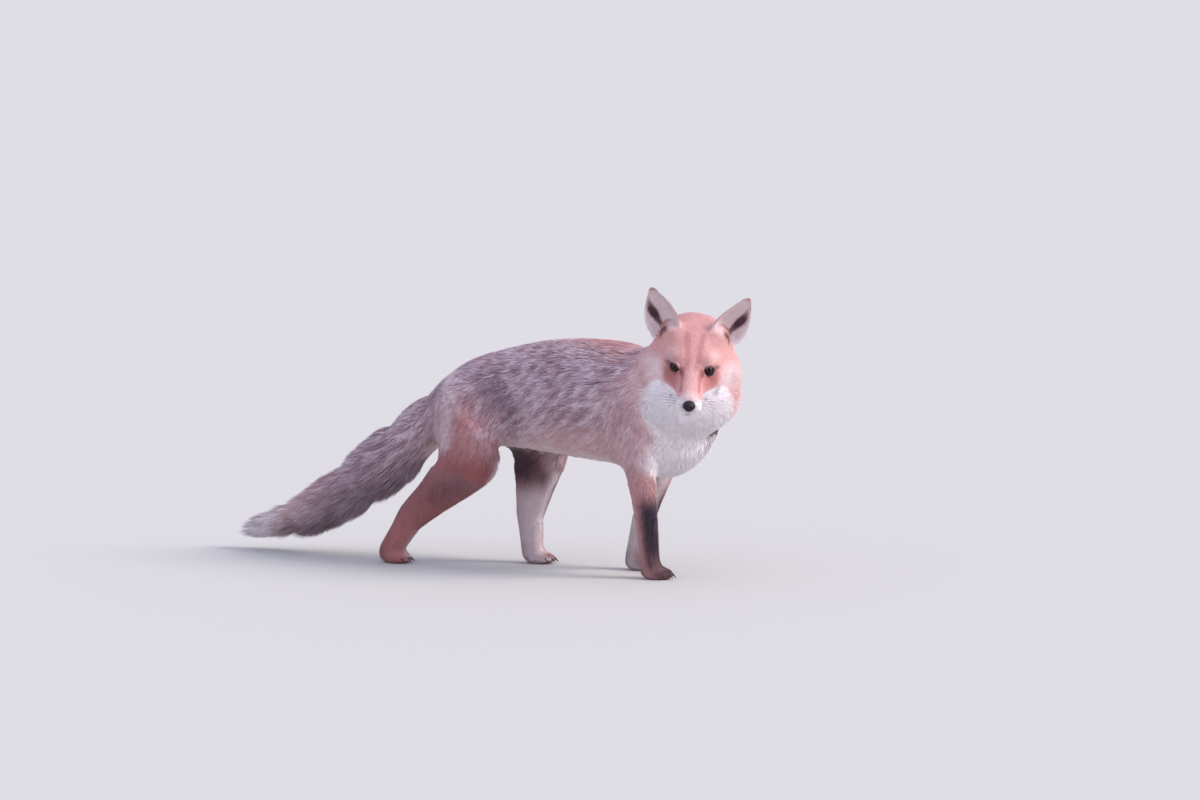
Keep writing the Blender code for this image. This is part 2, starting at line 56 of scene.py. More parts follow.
# ---- The coat on each part ----
# Millimetres: depth over the skin, length, width and spacing of the locks, and how far tips may pass the
# outline; then shares of pale, dark, rust and grizzled hair
COAT = {
    "head": (1.7, 8.5, 1.5, 0.98, 0.8, 0.04, 0.0, 0.2, 0.0),
    "ruff": (7.0, 28.0, 2.2, 1.45, 8.0, 0.25, 0.0, 0.15, 0.1),
    "ear": (0.8, 6.5, 1.0, 1.05, 0.8, 0.0, 0.0, 0.3, 0.0),
    "neck": (9.0, 32.0, 2.6, 1.5, 5.0, 0.15, 0.0, 0.12, 0.4),
    "trunk": (8.5, 29.0, 2.5, 1.6, 2.0, 0.0, 0.0, 0.12, 0.88),
    "upper_arm": (7.0, 24.0, 2.3, 1.45, 2.0, 0.06, 0.0, 0.12, 0.6),
    "forearm": (3.4, 14.0, 1.5, 1.28, 1.0, 0.1, 0.04, 0.45, 0.1),
    "forefoot": (2.4, 7.0, 1.1, 1.15, 0.4, 0.1, 0.1, 0.35, 0.0),
    "thigh": (7.5, 26.0, 2.3, 1.5, 2.0, 0.0, 0.02, 0.35, 0.62),
    "shank": (4.0, 16.0, 1.7, 1.38, 1.0, 0.0, 0.34, 0.85, 0.05),
    "hindfoot": (2.8, 8.0, 1.2, 1.2, 0.4, 0.0, 0.0, 0.72, 0.0),
    "tail_root": (17.0, 46.0, 2.6, 1.6, 6.0, 0.0, 0.06, 0.08, 0.9),
    "tail_middle": (22.0, 54.0, 2.7, 1.4, 7.0, 0.0, 0.1, 0.12, 0.85),
    "tail_tip": (19.0, 52.0, 2.5, 1.15, 7.0, 0.2, 0.0, 0.25, 0.5),
}
DEPTH, LENGTH, WIDTH, GAP, PROUD, PALE, DARK, RUST, GRIZZLE = range(9)
MARKS, FLOW = slice(PALE, GRIZZLE + 1), slice(GRIZZLE + 1, GRIZZLE + 4)

# The way the coat lies on the parts where it is the same all over, before it is smoothed over the skin
LIE = {
    "upper_arm": (-0.35, 0.0, -1.0),
    "forearm": (-0.1, 0.0, -1.0),
    "thigh": (-0.55, 0.0, -1.0),
}
VOXEL = 2.3 * MM  # grid that merges the frame's flesh into one skin


def unit(vectors):
    return vectors / np.maximum(np.linalg.norm(vectors, axis=-1, keepdims=True), 1e-9)


def ease(values, low, high):
    """0 below low, 1 above high and smooth between; low may be the larger."""
    share = np.clip((values - low) / (high - low), 0, 1)
    return share * share * (3 - 2 * share)


def mixed(first, second, share):
    return first + (second - first) * share


def row_dot(first, second):
    return np.einsum("ij,ij->i", first, second)[:, None]


def lengths_of(vectors):
    return np.linalg.norm(vectors, axis=1)


def near(points, place):
    """How far each point is from a place."""
    return lengths_of(points - place)


def centre(node):
    low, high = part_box(node)
    return np.array((low + high) / 2)


# ---- The head's own frame: x to the nose, y to its left, z up, the origin midway between the eyes ----
NOSE_DROP = math.atan2(0.027, 0.0725)  # how far the nose lies under the head's level, seen from the eyes
EYES_AHEAD, EYES_UP = 0.003, 0.0005


def head_frame():
    left, right, nose = centre("eye_left"), centre("eye_right"), centre("nose")
    across = unit(left - right)
    to_nose = nose - (left + right) / 2
    to_nose = unit(to_nose - across * (to_nose @ across))
    above = np.cross(to_nose, across)
    ahead = math.cos(NOSE_DROP) * to_nose + math.sin(NOSE_DROP) * above
    axes = np.stack((ahead, across, np.cross(ahead, across)), 1)
    return axes, (left + right) / 2 - axes @ np.array((EYES_AHEAD, 0, EYES_UP))


HEAD_AXES, HEAD_ORIGIN = head_frame()


def in_head(points):
    return (points - HEAD_ORIGIN) @ HEAD_AXES


def folded(points):
    """Points in the head's frame, those of its right half mirrored onto the left."""
    x, y, z = in_head(points).T
    return np.stack((x, np.abs(y), z), 1)


def from_head(points):
    return np.asarray(points) @ HEAD_AXES.T + HEAD_ORIGIN


def kind_of(node):
    """The coat's kind on a node: its name without the side."""
    return node.replace("_left", "").replace("_right", "")


# ---- Skin ----
def mesh_arrays(mesh):
    mesh.calc_loop_triangles()
    points = np.empty(len(mesh.vertices) * 3, np.float32)
    mesh.vertices.foreach_get("co", points)
    triangles = np.empty(len(mesh.loop_triangles) * 3, np.int32)
    mesh.loop_triangles.foreach_get("vertices", triangles)
    return points.reshape(-1, 3).astype(float), triangles.reshape(-1, 3)


def mesh_from(name, points, triangles):
    mesh = bpy.data.meshes.new(name)
    mesh.vertices.add(len(points))
    mesh.vertices.foreach_set("co", np.asarray(points, np.float32).ravel())
    mesh.loops.add(triangles.size)
    mesh.loops.foreach_set("vertex_index", np.asarray(triangles, np.int32).ravel())
    mesh.polygons.add(len(triangles))
    mesh.polygons.foreach_set("loop_start", np.arange(0, triangles.size, 3, dtype=np.int32))
    mesh.update(calc_edges=True)
    return mesh


def object_from(name, mesh):
    obj = bpy.data.objects.new(name, mesh)
    bpy.context.scene.collection.objects.link(obj)
    return obj


def ring_faces(rows, sides, closed=False, flip=False):
    """Triangles of a grid of rings of `sides` points; closed joins its last ring to its first."""
    row, place = np.divmod(np.arange((rows if closed else rows - 1) * sides), sides)
    here, there, after = row * sides, (row + 1) % rows * sides, (place + 1) % sides
    a, b, c, d = here + place, here + after, there + after, there + place
    faces = np.stack((a, b, c, a, c, d), 1).reshape(-1, 3)
    return faces[:, ::-1] if flip else faces


def capped(rows, sides):
    """Triangles of a row of rings, closed at its ends by the two points that follow the rings."""
    start, end, last = rows * sides, rows * sides + 1, (rows - 1) * sides
    caps = [(start, (k + 1) % sides, k) for k in range(sides)]
    caps += [(end, last + k, last + (k + 1) % sides) for k in range(sides)]
    return np.concatenate((ring_faces(rows, sides), caps))


def turns_of(sides):
    return np.arange(sides) * 2 * math.pi / sides


def around(turns, first, second):
    """Points of a circle from one way toward another."""
    return np.cos(turns)[:, None] * first + np.sin(turns)[:, None] * second


def sphere_rows(rows, sides):
    """Unit vectors of a ball of rings round the x axis, front pole first, with its triangles."""
    angles = np.linspace(0.02, math.pi - 0.02, rows)
    turns = np.tile(turns_of(sides), rows)
    x, radius = np.repeat(np.cos(angles), sides), np.repeat(np.sin(angles), sides)
    points = np.stack((x, radius * np.cos(turns), radius * np.sin(turns)), 1)
    return np.concatenate((points, ((1, 0, 0), (-1, 0, 0)))), capped(rows, sides)[:, ::-1]


def gather(shapes):
    """Several shapes as one: points, triangles, and the place in the list of each triangle's shape."""
    points, triangles, owners, start = [], [], [], 0
    for place, (these, faces) in enumerate(shapes):
        points.append(these)
        triangles.append(faces + start)
        owners.append(np.full(len(faces), place))
        start += len(these)
    return np.concatenate(points), np.concatenate(triangles), np.concatenate(owners)


def remeshed(points, triangles):
    """One closed surface round them all, bridging the thin cuts between the nodes."""
    obj = object_from("remesh", mesh_from("remesh", points, triangles))
    modifier = obj.modifiers.new("merge", "REMESH")
    modifier.mode = "VOXEL"
    modifier.voxel_size = VOXEL
    evaluated = obj.evaluated_get(bpy.context.evaluated_depsgraph_get())
    result = mesh_arrays(evaluated.to_mesh())
    bpy.data.objects.remove(obj)
    return result


def edges_of(triangles):
    pairs = np.sort(triangles[:, [0, 1, 1, 2, 2, 0]].reshape(-1, 2), axis=1)
    return np.unique(pairs, axis=0)


def spread(values, edges, steps, share=1.0):
    """Values at the corners, averaged with their neighbours' a number of times."""
    values, count = values.copy(), len(values)
    first, second = edges.T
    neighbours = np.bincount(edges.ravel(), minlength=count)
    for _ in range(steps):
        for column in range(values.shape[1]):
            here = values[:, column]
            around = np.bincount(first, here[second], count) + np.bincount(second, here[first], count)
            values[:, column] = here + share * (around / neighbours - here)
    return values


def crossed(points, triangles):
    """The cross product of two sides of each triangle: its way out, with twice its area as length."""
    a, b, c = (points[triangles[:, k]] for k in range(3))
    return np.cross(b - a, c - a)


def corner_normals(points, triangles):
    faces = crossed(points, triangles)
    total = np.zeros_like(points)
    for axis in range(3):
        for corner in range(3):
            total[:, axis] += np.bincount(triangles[:, corner], faces[:, axis], len(points))
    return unit(total)


def lie_of(node, points):
    """The way the coat lies on a node."""
    kind = kind_of(node)
    if kind == "trunk":
        low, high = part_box("trunk")
        slope = mixed(-0.28, -0.95, ease(points[:, 2], high.z, mixed(low.z, high.z, 0.35)))
        chest = ease(points[:, 0], high.x - 0.095, high.x - 0.05)
        chest *= ease(points[:, 2], high.z - 0.06, high.z - 0.11)
        return unit(np.stack((chest - 1, np.zeros(len(points)), mixed(slope, -1.0, chest)), 1))
    if kind == "head":
        away = points - centre("nose")
        height = in_head(points)[:, 2]
        drop = 0.35 * ease(height, 0.01, -0.03) + 0.9 * ease(height, -0.04, -0.08)
        away[:, 2] -= drop * lengths_of(away)
        nape = ease(in_head(points)[:, 0], -0.045, -0.085)
        return unit(unit(away) - np.outer(1.6 * nape, HEAD_AXES[:, 2]))
    if kind == "ear":
        side = 1 if node.endswith("left") else -1
        return np.tile(HEAD_AXES @ unit(np.array((-0.016, 0.0335 * side, 0.0815))), (len(points), 1))
    if kind.startswith("tail"):
        return np.tile(unit(centre("tail_tip") - centre("tail_root")), (len(points), 1))
    if kind == "neck":
        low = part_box("neck")[0].x
        front = ease(points[:, :1], low + 0.05, low + 0.11)
        return unit(mixed(np.array((-0.75, 0.0, -0.65)), np.array((0.05, 0.0, -1.0)), front))
    if kind in ("forefoot", "hindfoot"):
        toes = ease(points[:, 2:], 0.045, 0.02)
        return unit(mixed(np.array((0.05, 0.0, -1.0)), np.array((1.0, 0.0, -0.35)), toes))
    if kind == "shank":
        foot = centre(node.replace("shank", "hindfoot"))
        return np.tile(unit(foot - centre(node)), (len(points), 1))
    return np.tile(unit(np.array(LIE[kind])), (len(points), 1))


def ruff_share(points):
    """1 on the long hair of the cheeks and throat, 0 on the face and lower jaw."""
    x, y, z = folded(points).T
    jaw = ease(x, -0.01, 0.012) * ease(y, 0.034, 0.022) * ease(z, -0.068, -0.058)
    throat = ease(z, -0.046, -0.064) * (1 - jaw)
    cheek = ease(y, 0.052, 0.068) * ease(z, -0.002, -0.026)
    nape = ease(x, -0.06, -0.085) * ease(z, 0.055, 0.02)
    return np.maximum.reduce((throat, cheek, nape))


def tangent(vectors, normals):
    return unit(vectors - normals * row_dot(vectors, normals))


EYE_RADIUS = float(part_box("eye_left")[1].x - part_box("eye_left")[0].x) / 2
LID_MOUND = 1.9 * MM  # how far the flesh of the lids stands over the eyeballs, under its coat
FLESH = sorted(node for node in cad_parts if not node.startswith(("eye", "nose")))
FLESH_KINDS = np.array([kind_of(name) for name in FLESH])
EYES = {-1: "eye_right", 1: "eye_left"}
FORELEG, HINDLEG = ("forearm", "forefoot"), ("shank", "hindfoot")


# How the merged outline is evened: rounds of averaging for each step
JOINT_ROUNDS, CREASE_ROUNDS, CREASE_PASSES, CREASE_POLISH = 80, 110, 4, 20
MUSCLE_ROUNDS, MARGIN_ROUNDS, LATE_ROUNDS = 24, 24, 60
EAR_DEPTH = 1.2 * MM
COARSE = ("trunk", "thigh", "upper_arm", "neck")  # where the outline's facets are rounded off
JOINED = ("head", "thigh", "upper_arm", "neck", "tail_root")  # whose creases against the rest are filled


def outer_surface():
    """The merged outline with its coat's fields: one row of numbers at each corner, and its node."""
    source, faces, owners = gather([mesh_arrays(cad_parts[name].data) for name in FLESH])
    ball, ball_faces = sphere_rows(24, 32)
    balls = [(centre(eye) + ball * (EYE_RADIUS + LID_MOUND), ball_faces) for eye in sorted(EYES.values())]
    points, triangles = remeshed(*gather([(source, faces)] + balls)[:2])
    edges = edges_of(triangles)
    tree = BVHTree.FromPolygons(source.tolist(), faces.tolist())
    node = np.array([owners[tree.find_nearest(p)[2]] for p in points])
    kinds = FLESH_KINDS[node]
    points = spread(points, edges, 3, 0.5)
    coarse = spread(np.isin(kinds, COARSE)[:, None].astype(float), edges, 6)
    points = mixed(points, spread(points, edges, MUSCLE_ROUNDS, 0.5), coarse)
    points = filled_creases(points, triangles, edges, kinds)
    fields = np.zeros((len(points), FLOW.stop))
    for place, name in enumerate(FLESH):
        here = node == place
        fields[here, : FLOW.start] = COAT[kind_of(name)]
        fields[here, FLOW] = lie_of(name, points[here])
    ruff = ruff_share(points) * (kinds == "head")
    fields[:, : FLOW.start] = mixed(fields[:, : FLOW.start], np.array(COAT["ruff"]), ruff[:, None])
    fields[:, : PROUD + 1] *= MM
    fields = spread(fields, edges, MARGIN_ROUNDS)
    depth = fields[:, DEPTH]
    fields = spread(fields, edges, LATE_ROUNDS)
    fields[:, DEPTH] = np.where(kinds == "ear", np.minimum(depth, EAR_DEPTH), fields[:, DEPTH])
    return points, triangles, edges, node, fields


def filled_creases(points, triangles, edges, kinds):
    """The outline with the creases between its parts filled, but not those at the ears or in the face."""
    joints = np.stack([kinds == kind for kind in JOINED + ("ear",)], 1)
    joints = spread(joints.astype(float), edges, JOINT_ROUNDS)
    x, _, z = in_head(points).T
    joints[:, 0] *= np.maximum(ease(z, 0.01, -0.03), ease(x, -0.04, -0.065))
    crease = (4 * joints[:, :-1] * (1 - joints[:, :-1])).max(1, keepdims=True)
    crease *= 1 - ease(joints[:, -1:], 0.01, 0.1)
    for _ in range(CREASE_PASSES):
        filled = spread(points, edges, CREASE_ROUNDS, 0.5)
        rise = row_dot(filled - points, corner_normals(points, triangles))
        points = mixed(points, filled, np.clip(2.2 * crease, 0, 1) * ease(rise, 0.0, 0.6 * MM))
    return mixed(points, spread(points, edges, CREASE_POLISH, 0.5), np.clip(crease, 0, 1))


def ray_lengths(hull, *rays):
    """How far rays (starts, ways and perhaps reaches) run to the outline, infinite where they miss it."""
    hits = [hull.ray_cast(*ray)[3] for ray in zip(*(values.tolist() for values in rays))]
    return np.array([np.inf if hit is None else hit for hit in hits])


def half_thickness(points, normals, hull):
    """Half the way through the body at each point, straight in."""
    return np.minimum(ray_lengths(hull, points - normals * 0.3 * MM, -normals) / 2, 1.0)


DRAWING_STEPS = 12


def draw_in(points, triangles, edges, depth):
    """The surface moved inward by the depth at each corner, kept even as it goes."""
    for _ in range(DRAWING_STEPS):
        points = points - corner_normals(points, triangles) * (depth / DRAWING_STEPS)
        points = spread(points, edges, 1, 0.35)
    return points


TAIL_WAY = unit(centre("tail_tip") - centre("tail_root"))
TAIL_BINS = 26
BRUSH = 0.05  # how far the hair reaches past the end of the tail's flesh


def draw_in_tail(points, outline, on_tail, depth):
    """The tail's flesh: the outline drawn toward its own middle line, and shorter than it by the brush."""
    along = outline @ TAIL_WAY
    start, end = along[on_tail].min() + 0.01, along[on_tail].max()
    places = np.linspace(start, end, TAIL_BINS + 1)
    slab = np.clip(np.digitize(along, places) - 1, 0, TAIL_BINS - 1)
    line = np.array([outline[on_tail & (slab == k)].mean(0) for k in range(TAIL_BINS)])
    line[1:-1] = (line[:-2] + line[1:-1] + line[2:]) / 3
    at_line = line @ TAIL_WAY

    def middle_at(way):
        return np.stack([np.interp(way, at_line, line[:, k]) for k in range(3)], 1)

    share = ease(along, start, start + 0.06) * on_tail
    shorter = start + (along - start) * (end - start - BRUSH) / (end - start)
    offset = outline - middle_at(along)
    offset -= np.outer(offset @ TAIL_WAY, TAIL_WAY)
    radius = lengths_of(offset)
    kept = np.maximum(radius - depth, 0.36 * radius)
    middle = middle_at(shorter)
    middle += np.outer(shorter - middle @ TAIL_WAY, TAIL_WAY)
    return mixed(points, middle + offset * (kept / np.maximum(radius, 1e-6))[:, None], share[:, None])


# ---- Markings ----
def blob(points, place, size, hard):
    """1 out to a share (hard) of an ellipsoid, falling to 0 at its surface."""
    return ease(lengths_of((points - np.asarray(place)) / np.asarray(size)), 1.0, hard)


def at(node, x, y, z):
    """A point of a node's box, from shares of its sides."""
    low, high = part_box(node)
    return np.array([mixed(low[k], high[k], share) for k, share in enumerate((x, y, z))])


def lay(fields, column, share, value):
    fields[:, column] = mixed(fields[:, column], value, np.clip(share, 0, 1))


def paint(fields, share, *hair):
    """Lays hair over a mark: a column, its value and, where it is laid weaker than the mark, how strongly."""
    for column, value, *strength in hair:
        lay(fields, column, share * strength[0] if strength else share, value)


def stroke(points, start, end, radius, hard):
    """1 out to a share (hard) of the radius from a line, falling to 0 at the radius."""
    start, way = np.asarray(start), np.asarray(end) - np.asarray(start)
    share = np.clip((points - start) @ way / (way @ way), 0, 1)
    return ease(lengths_of(points - start - np.outer(share, way)) / radius, 1.0, hard)


WHITE = ((PALE, 1.0), (RUST, 0.0), (DARK, 0.0), (GRIZZLE, 0.0))
RUMP_BAND = (-0.056, 0, 0.31), (-0.044, 0, 0.268), (-0.047, 0, 0.2)  # the pale band down the right haunch
KNEE = (-0.064, 0, 0.114), (0.002, 0, 0.148)  # ends of the dark patch over the knee
FRINGE_PROUD = 7 * MM  # how far the hair along the belly may hang past the outline
# Marks on the left half of the face: the shape, its place (mm, in the head's frame) and the hair
UNDER_WHITE = {
    "cheek": (blob, (-20, 56, -20), (40, 30, 30), 0.3, ((PALE, 0.5), (RUST, 0.05, 0.8))),
    "brow": (blob, (-8, 34, 16.5), (22, 20, 14), 0.0, ((PALE, 0.24), (RUST, 0.08))),
    "frown": (stroke, (18, 7, 6), (-30, 12, 40), 7.5, 0.1, ((RUST, 0.65, 0.9), (DARK, 0.04, 0.9))),
    "patch": (blob, (10, 29, -12), (40, 20.5, 23.5), 0.4, ((RUST, 0.78), (PALE, 0.0), (DARK, 0.03))),
    "socket": (stroke, (8.5, 18.5, -1), (-3, 34, 1), 8.5, 0.2, ((RUST, 0.85), (DARK, 0.28))),
    "tear": (stroke, (16, 14.5, 2), (46, 15, -15), 6.5, 0.1, ((RUST, 1.0), (DARK, 0.22))),
    "bridge": (stroke, (26, 0, 2), (60, 0, -14), 10, 0.1, ((PALE, 0.16), (RUST, 0.18))),
}
OVER_WHITE = {
    "corner of the mouth": (stroke, (0.5, 44, -32.5), (6, 39, -38), 5, 0.3, ((DARK, 0.62, 0.75),)),
    "mouth": (stroke, (6, 30, -47.5), (66, 10.5, -40.5), 2.2, 0.35, ((DARK, 0.85, 0.8),)),
    # painted shade under the chin, where the muzzle overhangs the throat
    "chin": (blob, (68, 0, -44), (12, 8.5, 6), 0.3, ((DARK, 0.45, 0.8),)),
    "inner corner": (stroke, (10.5, 17, 0.5), (20, 15, -5.5), 3.8, 0.3, ((DARK, 0.92, 0.9),)),
    "outer corner": (stroke, (-1, 33.5, 0.5), (-8, 40.5, 1), 3.6, 0.2, ((DARK, 0.7, 0.7),)),
}
# The upper edge of the white: its height at places along the head, and how far out it goes at heights down
# the throat
LIP_X = (-0.05, -0.003, 0.01, 0.03, 0.055, 0.075)
LIP_Z = (-0.038, -0.0305, -0.034, -0.0325, -0.0255, -0.02)
BIB_Z, BIB_Y = (-0.133, -0.108, -0.082, -0.041), (0.037, 0.06, 0.0715, 0.0635)


def mark_face(fields, points, here):
    """The face, the same on both sides: white lips and throat, dark corners of the eyes, rusty tear marks."""
    q = folded(points)
    x, y, z = q.T
    paint(fields, here * ease(x, -0.045, -0.08) * ease(z, 0.01, 0.03), (RUST, 0.6, 0.8))
    for shape, *place, hair in UNDER_WHITE.values():
        paint(fields, here * shape(q / MM, *place), *hair)
    paint(fields, here * ease(x, 0.05, 0.064) * ease(z, -0.026, -0.02), (PALE, 0.55))
    lip = np.interp(x, LIP_X, LIP_Z) - 0.02 * ease(y, 0.05, 0.07)
    white = ease(z - lip, 0.0022, -0.0016) * ease(x, -0.075, -0.035)
    white *= np.maximum(here, ease(z, -0.06, -0.08) * ease(z, -0.16, -0.125) * ease(x, -0.075, -0.045))
    white *= ease(y - np.interp(z, BIB_Z, BIB_Y), 0.011, -0.011)
    paint(fields, white, *WHITE)
    for shape, *place, hair in OVER_WHITE.values():
        paint(fields, here * shape(q / MM, *place), *hair)


EAR_BASE, EAR_TIP = np.array((-0.044, 0.042, 0.018)), np.array((-0.06, 0.0755, 0.0995))
EAR_OPENING = np.array((0.84, 0.36, 0.0))


def ear_coordinates(points, normals, side):
    """Share of the ear's length, half widths outward across it, and how far it faces forward."""
    mirror = np.array((1, side, 1))
    q = in_head(points) * mirror
    along = unit(EAR_TIP - EAR_BASE)
    opening = unit(EAR_OPENING - along * (EAR_OPENING @ along))
    across = np.cross(along, opening)
    length = np.linalg.norm(EAR_TIP - EAR_BASE)
    share = (q - EAR_BASE) @ along / length
    half_width = np.interp(share, (0, 0.35, 0.6, 0.8, 1.0), (0.026, 0.033, 0.027, 0.017, 0.005))
    outward = (q - EAR_BASE - along * share[:, None] * length) @ across
    facing = (normals @ HEAD_AXES * mirror) @ opening
    return share, outward / half_width, facing


# Half widths from the ear's middle line to its dark slit, the slit's own half width and its strength, each
# along the ear; the slit is black hair with painted shade in the ear's hollow
SLIT_AT = (0.22, 0.4, 0.52, 0.75), (0.38, 0.44, 0.49, 0.6)
SLIT_WIDE = (0.2, 0.36, 0.52, 0.66, 0.82), (0.1, 0.17, 0.27, 0.2, 0.1)
SLIT_DEEP = (0.12, 0.24, 0.42, 0.6, 0.84), (0.2, 0.75, 1.0, 0.95, 0.0)
EAR_FOOT_LENGTH, EAR_FOOT_PROUD = 11 * MM, 4 * MM


def mark_ears(fields, points, normals, node):
    q = folded(points)
    on_head = node == FLESH.index("head")
    fluff = on_head * blob(q / MM, (-46, 37, 46), (21, 17, 20), 0.2)
    # painted shadow: a dark spot in the hollow at the foot of each ear
    foot = on_head * stroke(q / MM, (-42, 48, 36.5), (-48, 56.5, 24), 9.8, 0.25)
    paint(fields, fluff, (PALE, 0.5), (RUST, 0.08))
    paint(fields, foot, (DARK, 0.78), (PALE, 0.0))
    for side, name in ((1, "ear_left"), (-1, "ear_right")):
        here = node == FLESH.index(name)
        share, outward, facing = ear_coordinates(points, normals, side)
        furry = here * ease(share, 0.45, 0.1)
        lay(fields, LENGTH, furry, EAR_FOOT_LENGTH)
        lay(fields, PROUD, furry, EAR_FOOT_PROUD)
        inside = here * ease(facing, 0.05, 0.45) * ease(share, 0.99, 0.9)
        paint(fields, inside, (PALE, 0.62), (RUST, 0.1), (GRIZZLE, 0.0))
        edge = inside * ease(np.abs(outward), 0.7, 0.86)
        lay(fields, PALE, edge * ease(share, 0.75, 0.45), mixed(0.45, 0.85, outward > 0))
        lay(fields, RUST, edge * ease(share, 0.55, 0.85), 0.35)
        # the dark slit: black hair, and painted shade in the ear's hollow
        off_slit = np.abs(outward - np.interp(share, *SLIT_AT)) / np.interp(share, *SLIT_WIDE)
        slit_and_shade = inside * ease(off_slit, 1.1, 0.45) * np.interp(share, *SLIT_DEEP)
        paint(fields, slit_and_shade, (PALE, 0.0), (RUST, 0.6), (DARK, 0.92))
        back = here * ease(facing, -0.3, -0.65) * ease(share, 0.16, 0.4) * ease(np.abs(outward), 0.98, 0.8)
        lay(fields, DARK, back, 0.95)


def flat(place):
    """A place seen straight from the side."""
    return np.asarray(place) * (1, 0, 1)


def mark_body(fields, points, normals, node):
    x, y, z = points.T
    kinds = FLESH_KINDS[node]
    trunk, thigh = kinds == "trunk", kinds == "thigh"
    body = np.isin(kinds, ("trunk", "neck", "upper_arm", "thigh"))
    middle = centre("trunk")[1]
    low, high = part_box("trunk")
    ahead, up = (x - low.x) / (high.x - low.x), (z - low.z) / (high.z - low.z)
    seen = flat(points)
    flank = body * ease(up, 0.48, 0.22) * ease(ahead, 0.4, 0.54)
    paint(fields, flank, (GRIZZLE, 0.38), (RUST, 0.26), (PALE, 0.14))
    spine = np.isin(kinds, ("trunk", "neck")) * ease(up, 0.93, 1.0) * ease(ahead, 0.45, 0.7)
    paint(fields, spine * ease(np.abs(y - middle), 0.042, 0.01), (RUST, 0.75), (GRIZZLE, 0.15))
    withers = body * blob(points, at("trunk", 0.74, 0.5, 0.97), (0.06, 0.1, 0.035), 0.0)
    paint(fields, withers, (RUST, 0.55), (GRIZZLE, 0.3))
    # a rusty stroke with painted shade where the haunch meets the flank
    shade_ends = flat(at("trunk", 0.355, 0, 0.64)), flat(at("trunk", 0.42, 0, 0.46))
    shade = body * stroke(seen, *shade_ends, 0.034, 0.1)
    paint(fields, shade, (RUST, 0.55), (DARK, 0.32))
    shoulder = body * blob(points, at("trunk", 0.76, 0.5, 0.5), (0.055, 0.12, 0.085), 0.2)
    paint(fields, shoulder, (RUST, 0.25, 0.8), (GRIZZLE, 0.35, 0.8), (PALE, 0.12))
    haunch = thigh * blob(points, at("trunk", 0.275, 0.5, 0.26), (0.044, 0.2, 0.07), 0.3)
    paint(fields, haunch, (RUST, 0.7), (GRIZZLE, 0.15))
    below = thigh * ease(z, low.z + 0.06, low.z + 0.005)
    paint(fields, below, (RUST, 0.9), (GRIZZLE, 0.0), (DARK, 0.25))
    upper = stroke(seen, *RUMP_BAND[:2], 0.018, 0.35)
    lower = stroke(seen, *RUMP_BAND[1:], 0.016, 0.35)
    band = np.isin(kinds, ("trunk", "thigh", "tail_root"))
    band = band * np.maximum(upper, 0.85 * lower) * ease(y, 0.06, 0.015)
    paint(fields, band, (PALE, 0.48), (DARK, 0.0), (RUST, 0.18), (GRIZZLE, 0.55))
    lay(fields, PROUD, trunk * ease(normals[:, 2], -0.15, -0.55), FRINGE_PROUD)
    paint(fields, trunk * ease(normals[:, 2], -0.45, -0.85), (PALE, 0.55), (GRIZZLE, 0.2))
    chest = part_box("neck")[1]
    front = body * ease(x + 0.55 * (0.3 - z), chest.x - 0.092, chest.x - 0.052)
    front *= ease(z, chest.z - 0.02, chest.z - 0.1)
    front *= ease(normals[:, 0] - 0.4 * normals[:, 2], -0.05, 0.4)
    paint(fields, front, *WHITE)
    mark_legs(fields, points, normals, kinds)
    tail = np.char.startswith(kinds, "tail")
    # painted shade: the tail darker on its underside
    lay(fields, DARK, 0.8 * (tail * ease(normals[:, 2], 0.1, -0.7)), 0.4)
    start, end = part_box("tail_tip")[1].x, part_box("tail_tip")[0].x
    reach = (start - x) / (start - end)
    rosy = tail * ease(reach, -0.5, 0.3) * ease(normals[:, 2], -0.3, 0.4)
    paint(fields, rosy, (RUST, 0.2), (GRIZZLE, 0.3), (PALE, 0.25))
    tip = (kinds == "tail_tip") * ease(reach, 0.45, 0.72)
    paint(fields, tip, (PALE, 0.8), (RUST, 0.0), (DARK, 0.04), (GRIZZLE, 0.15))


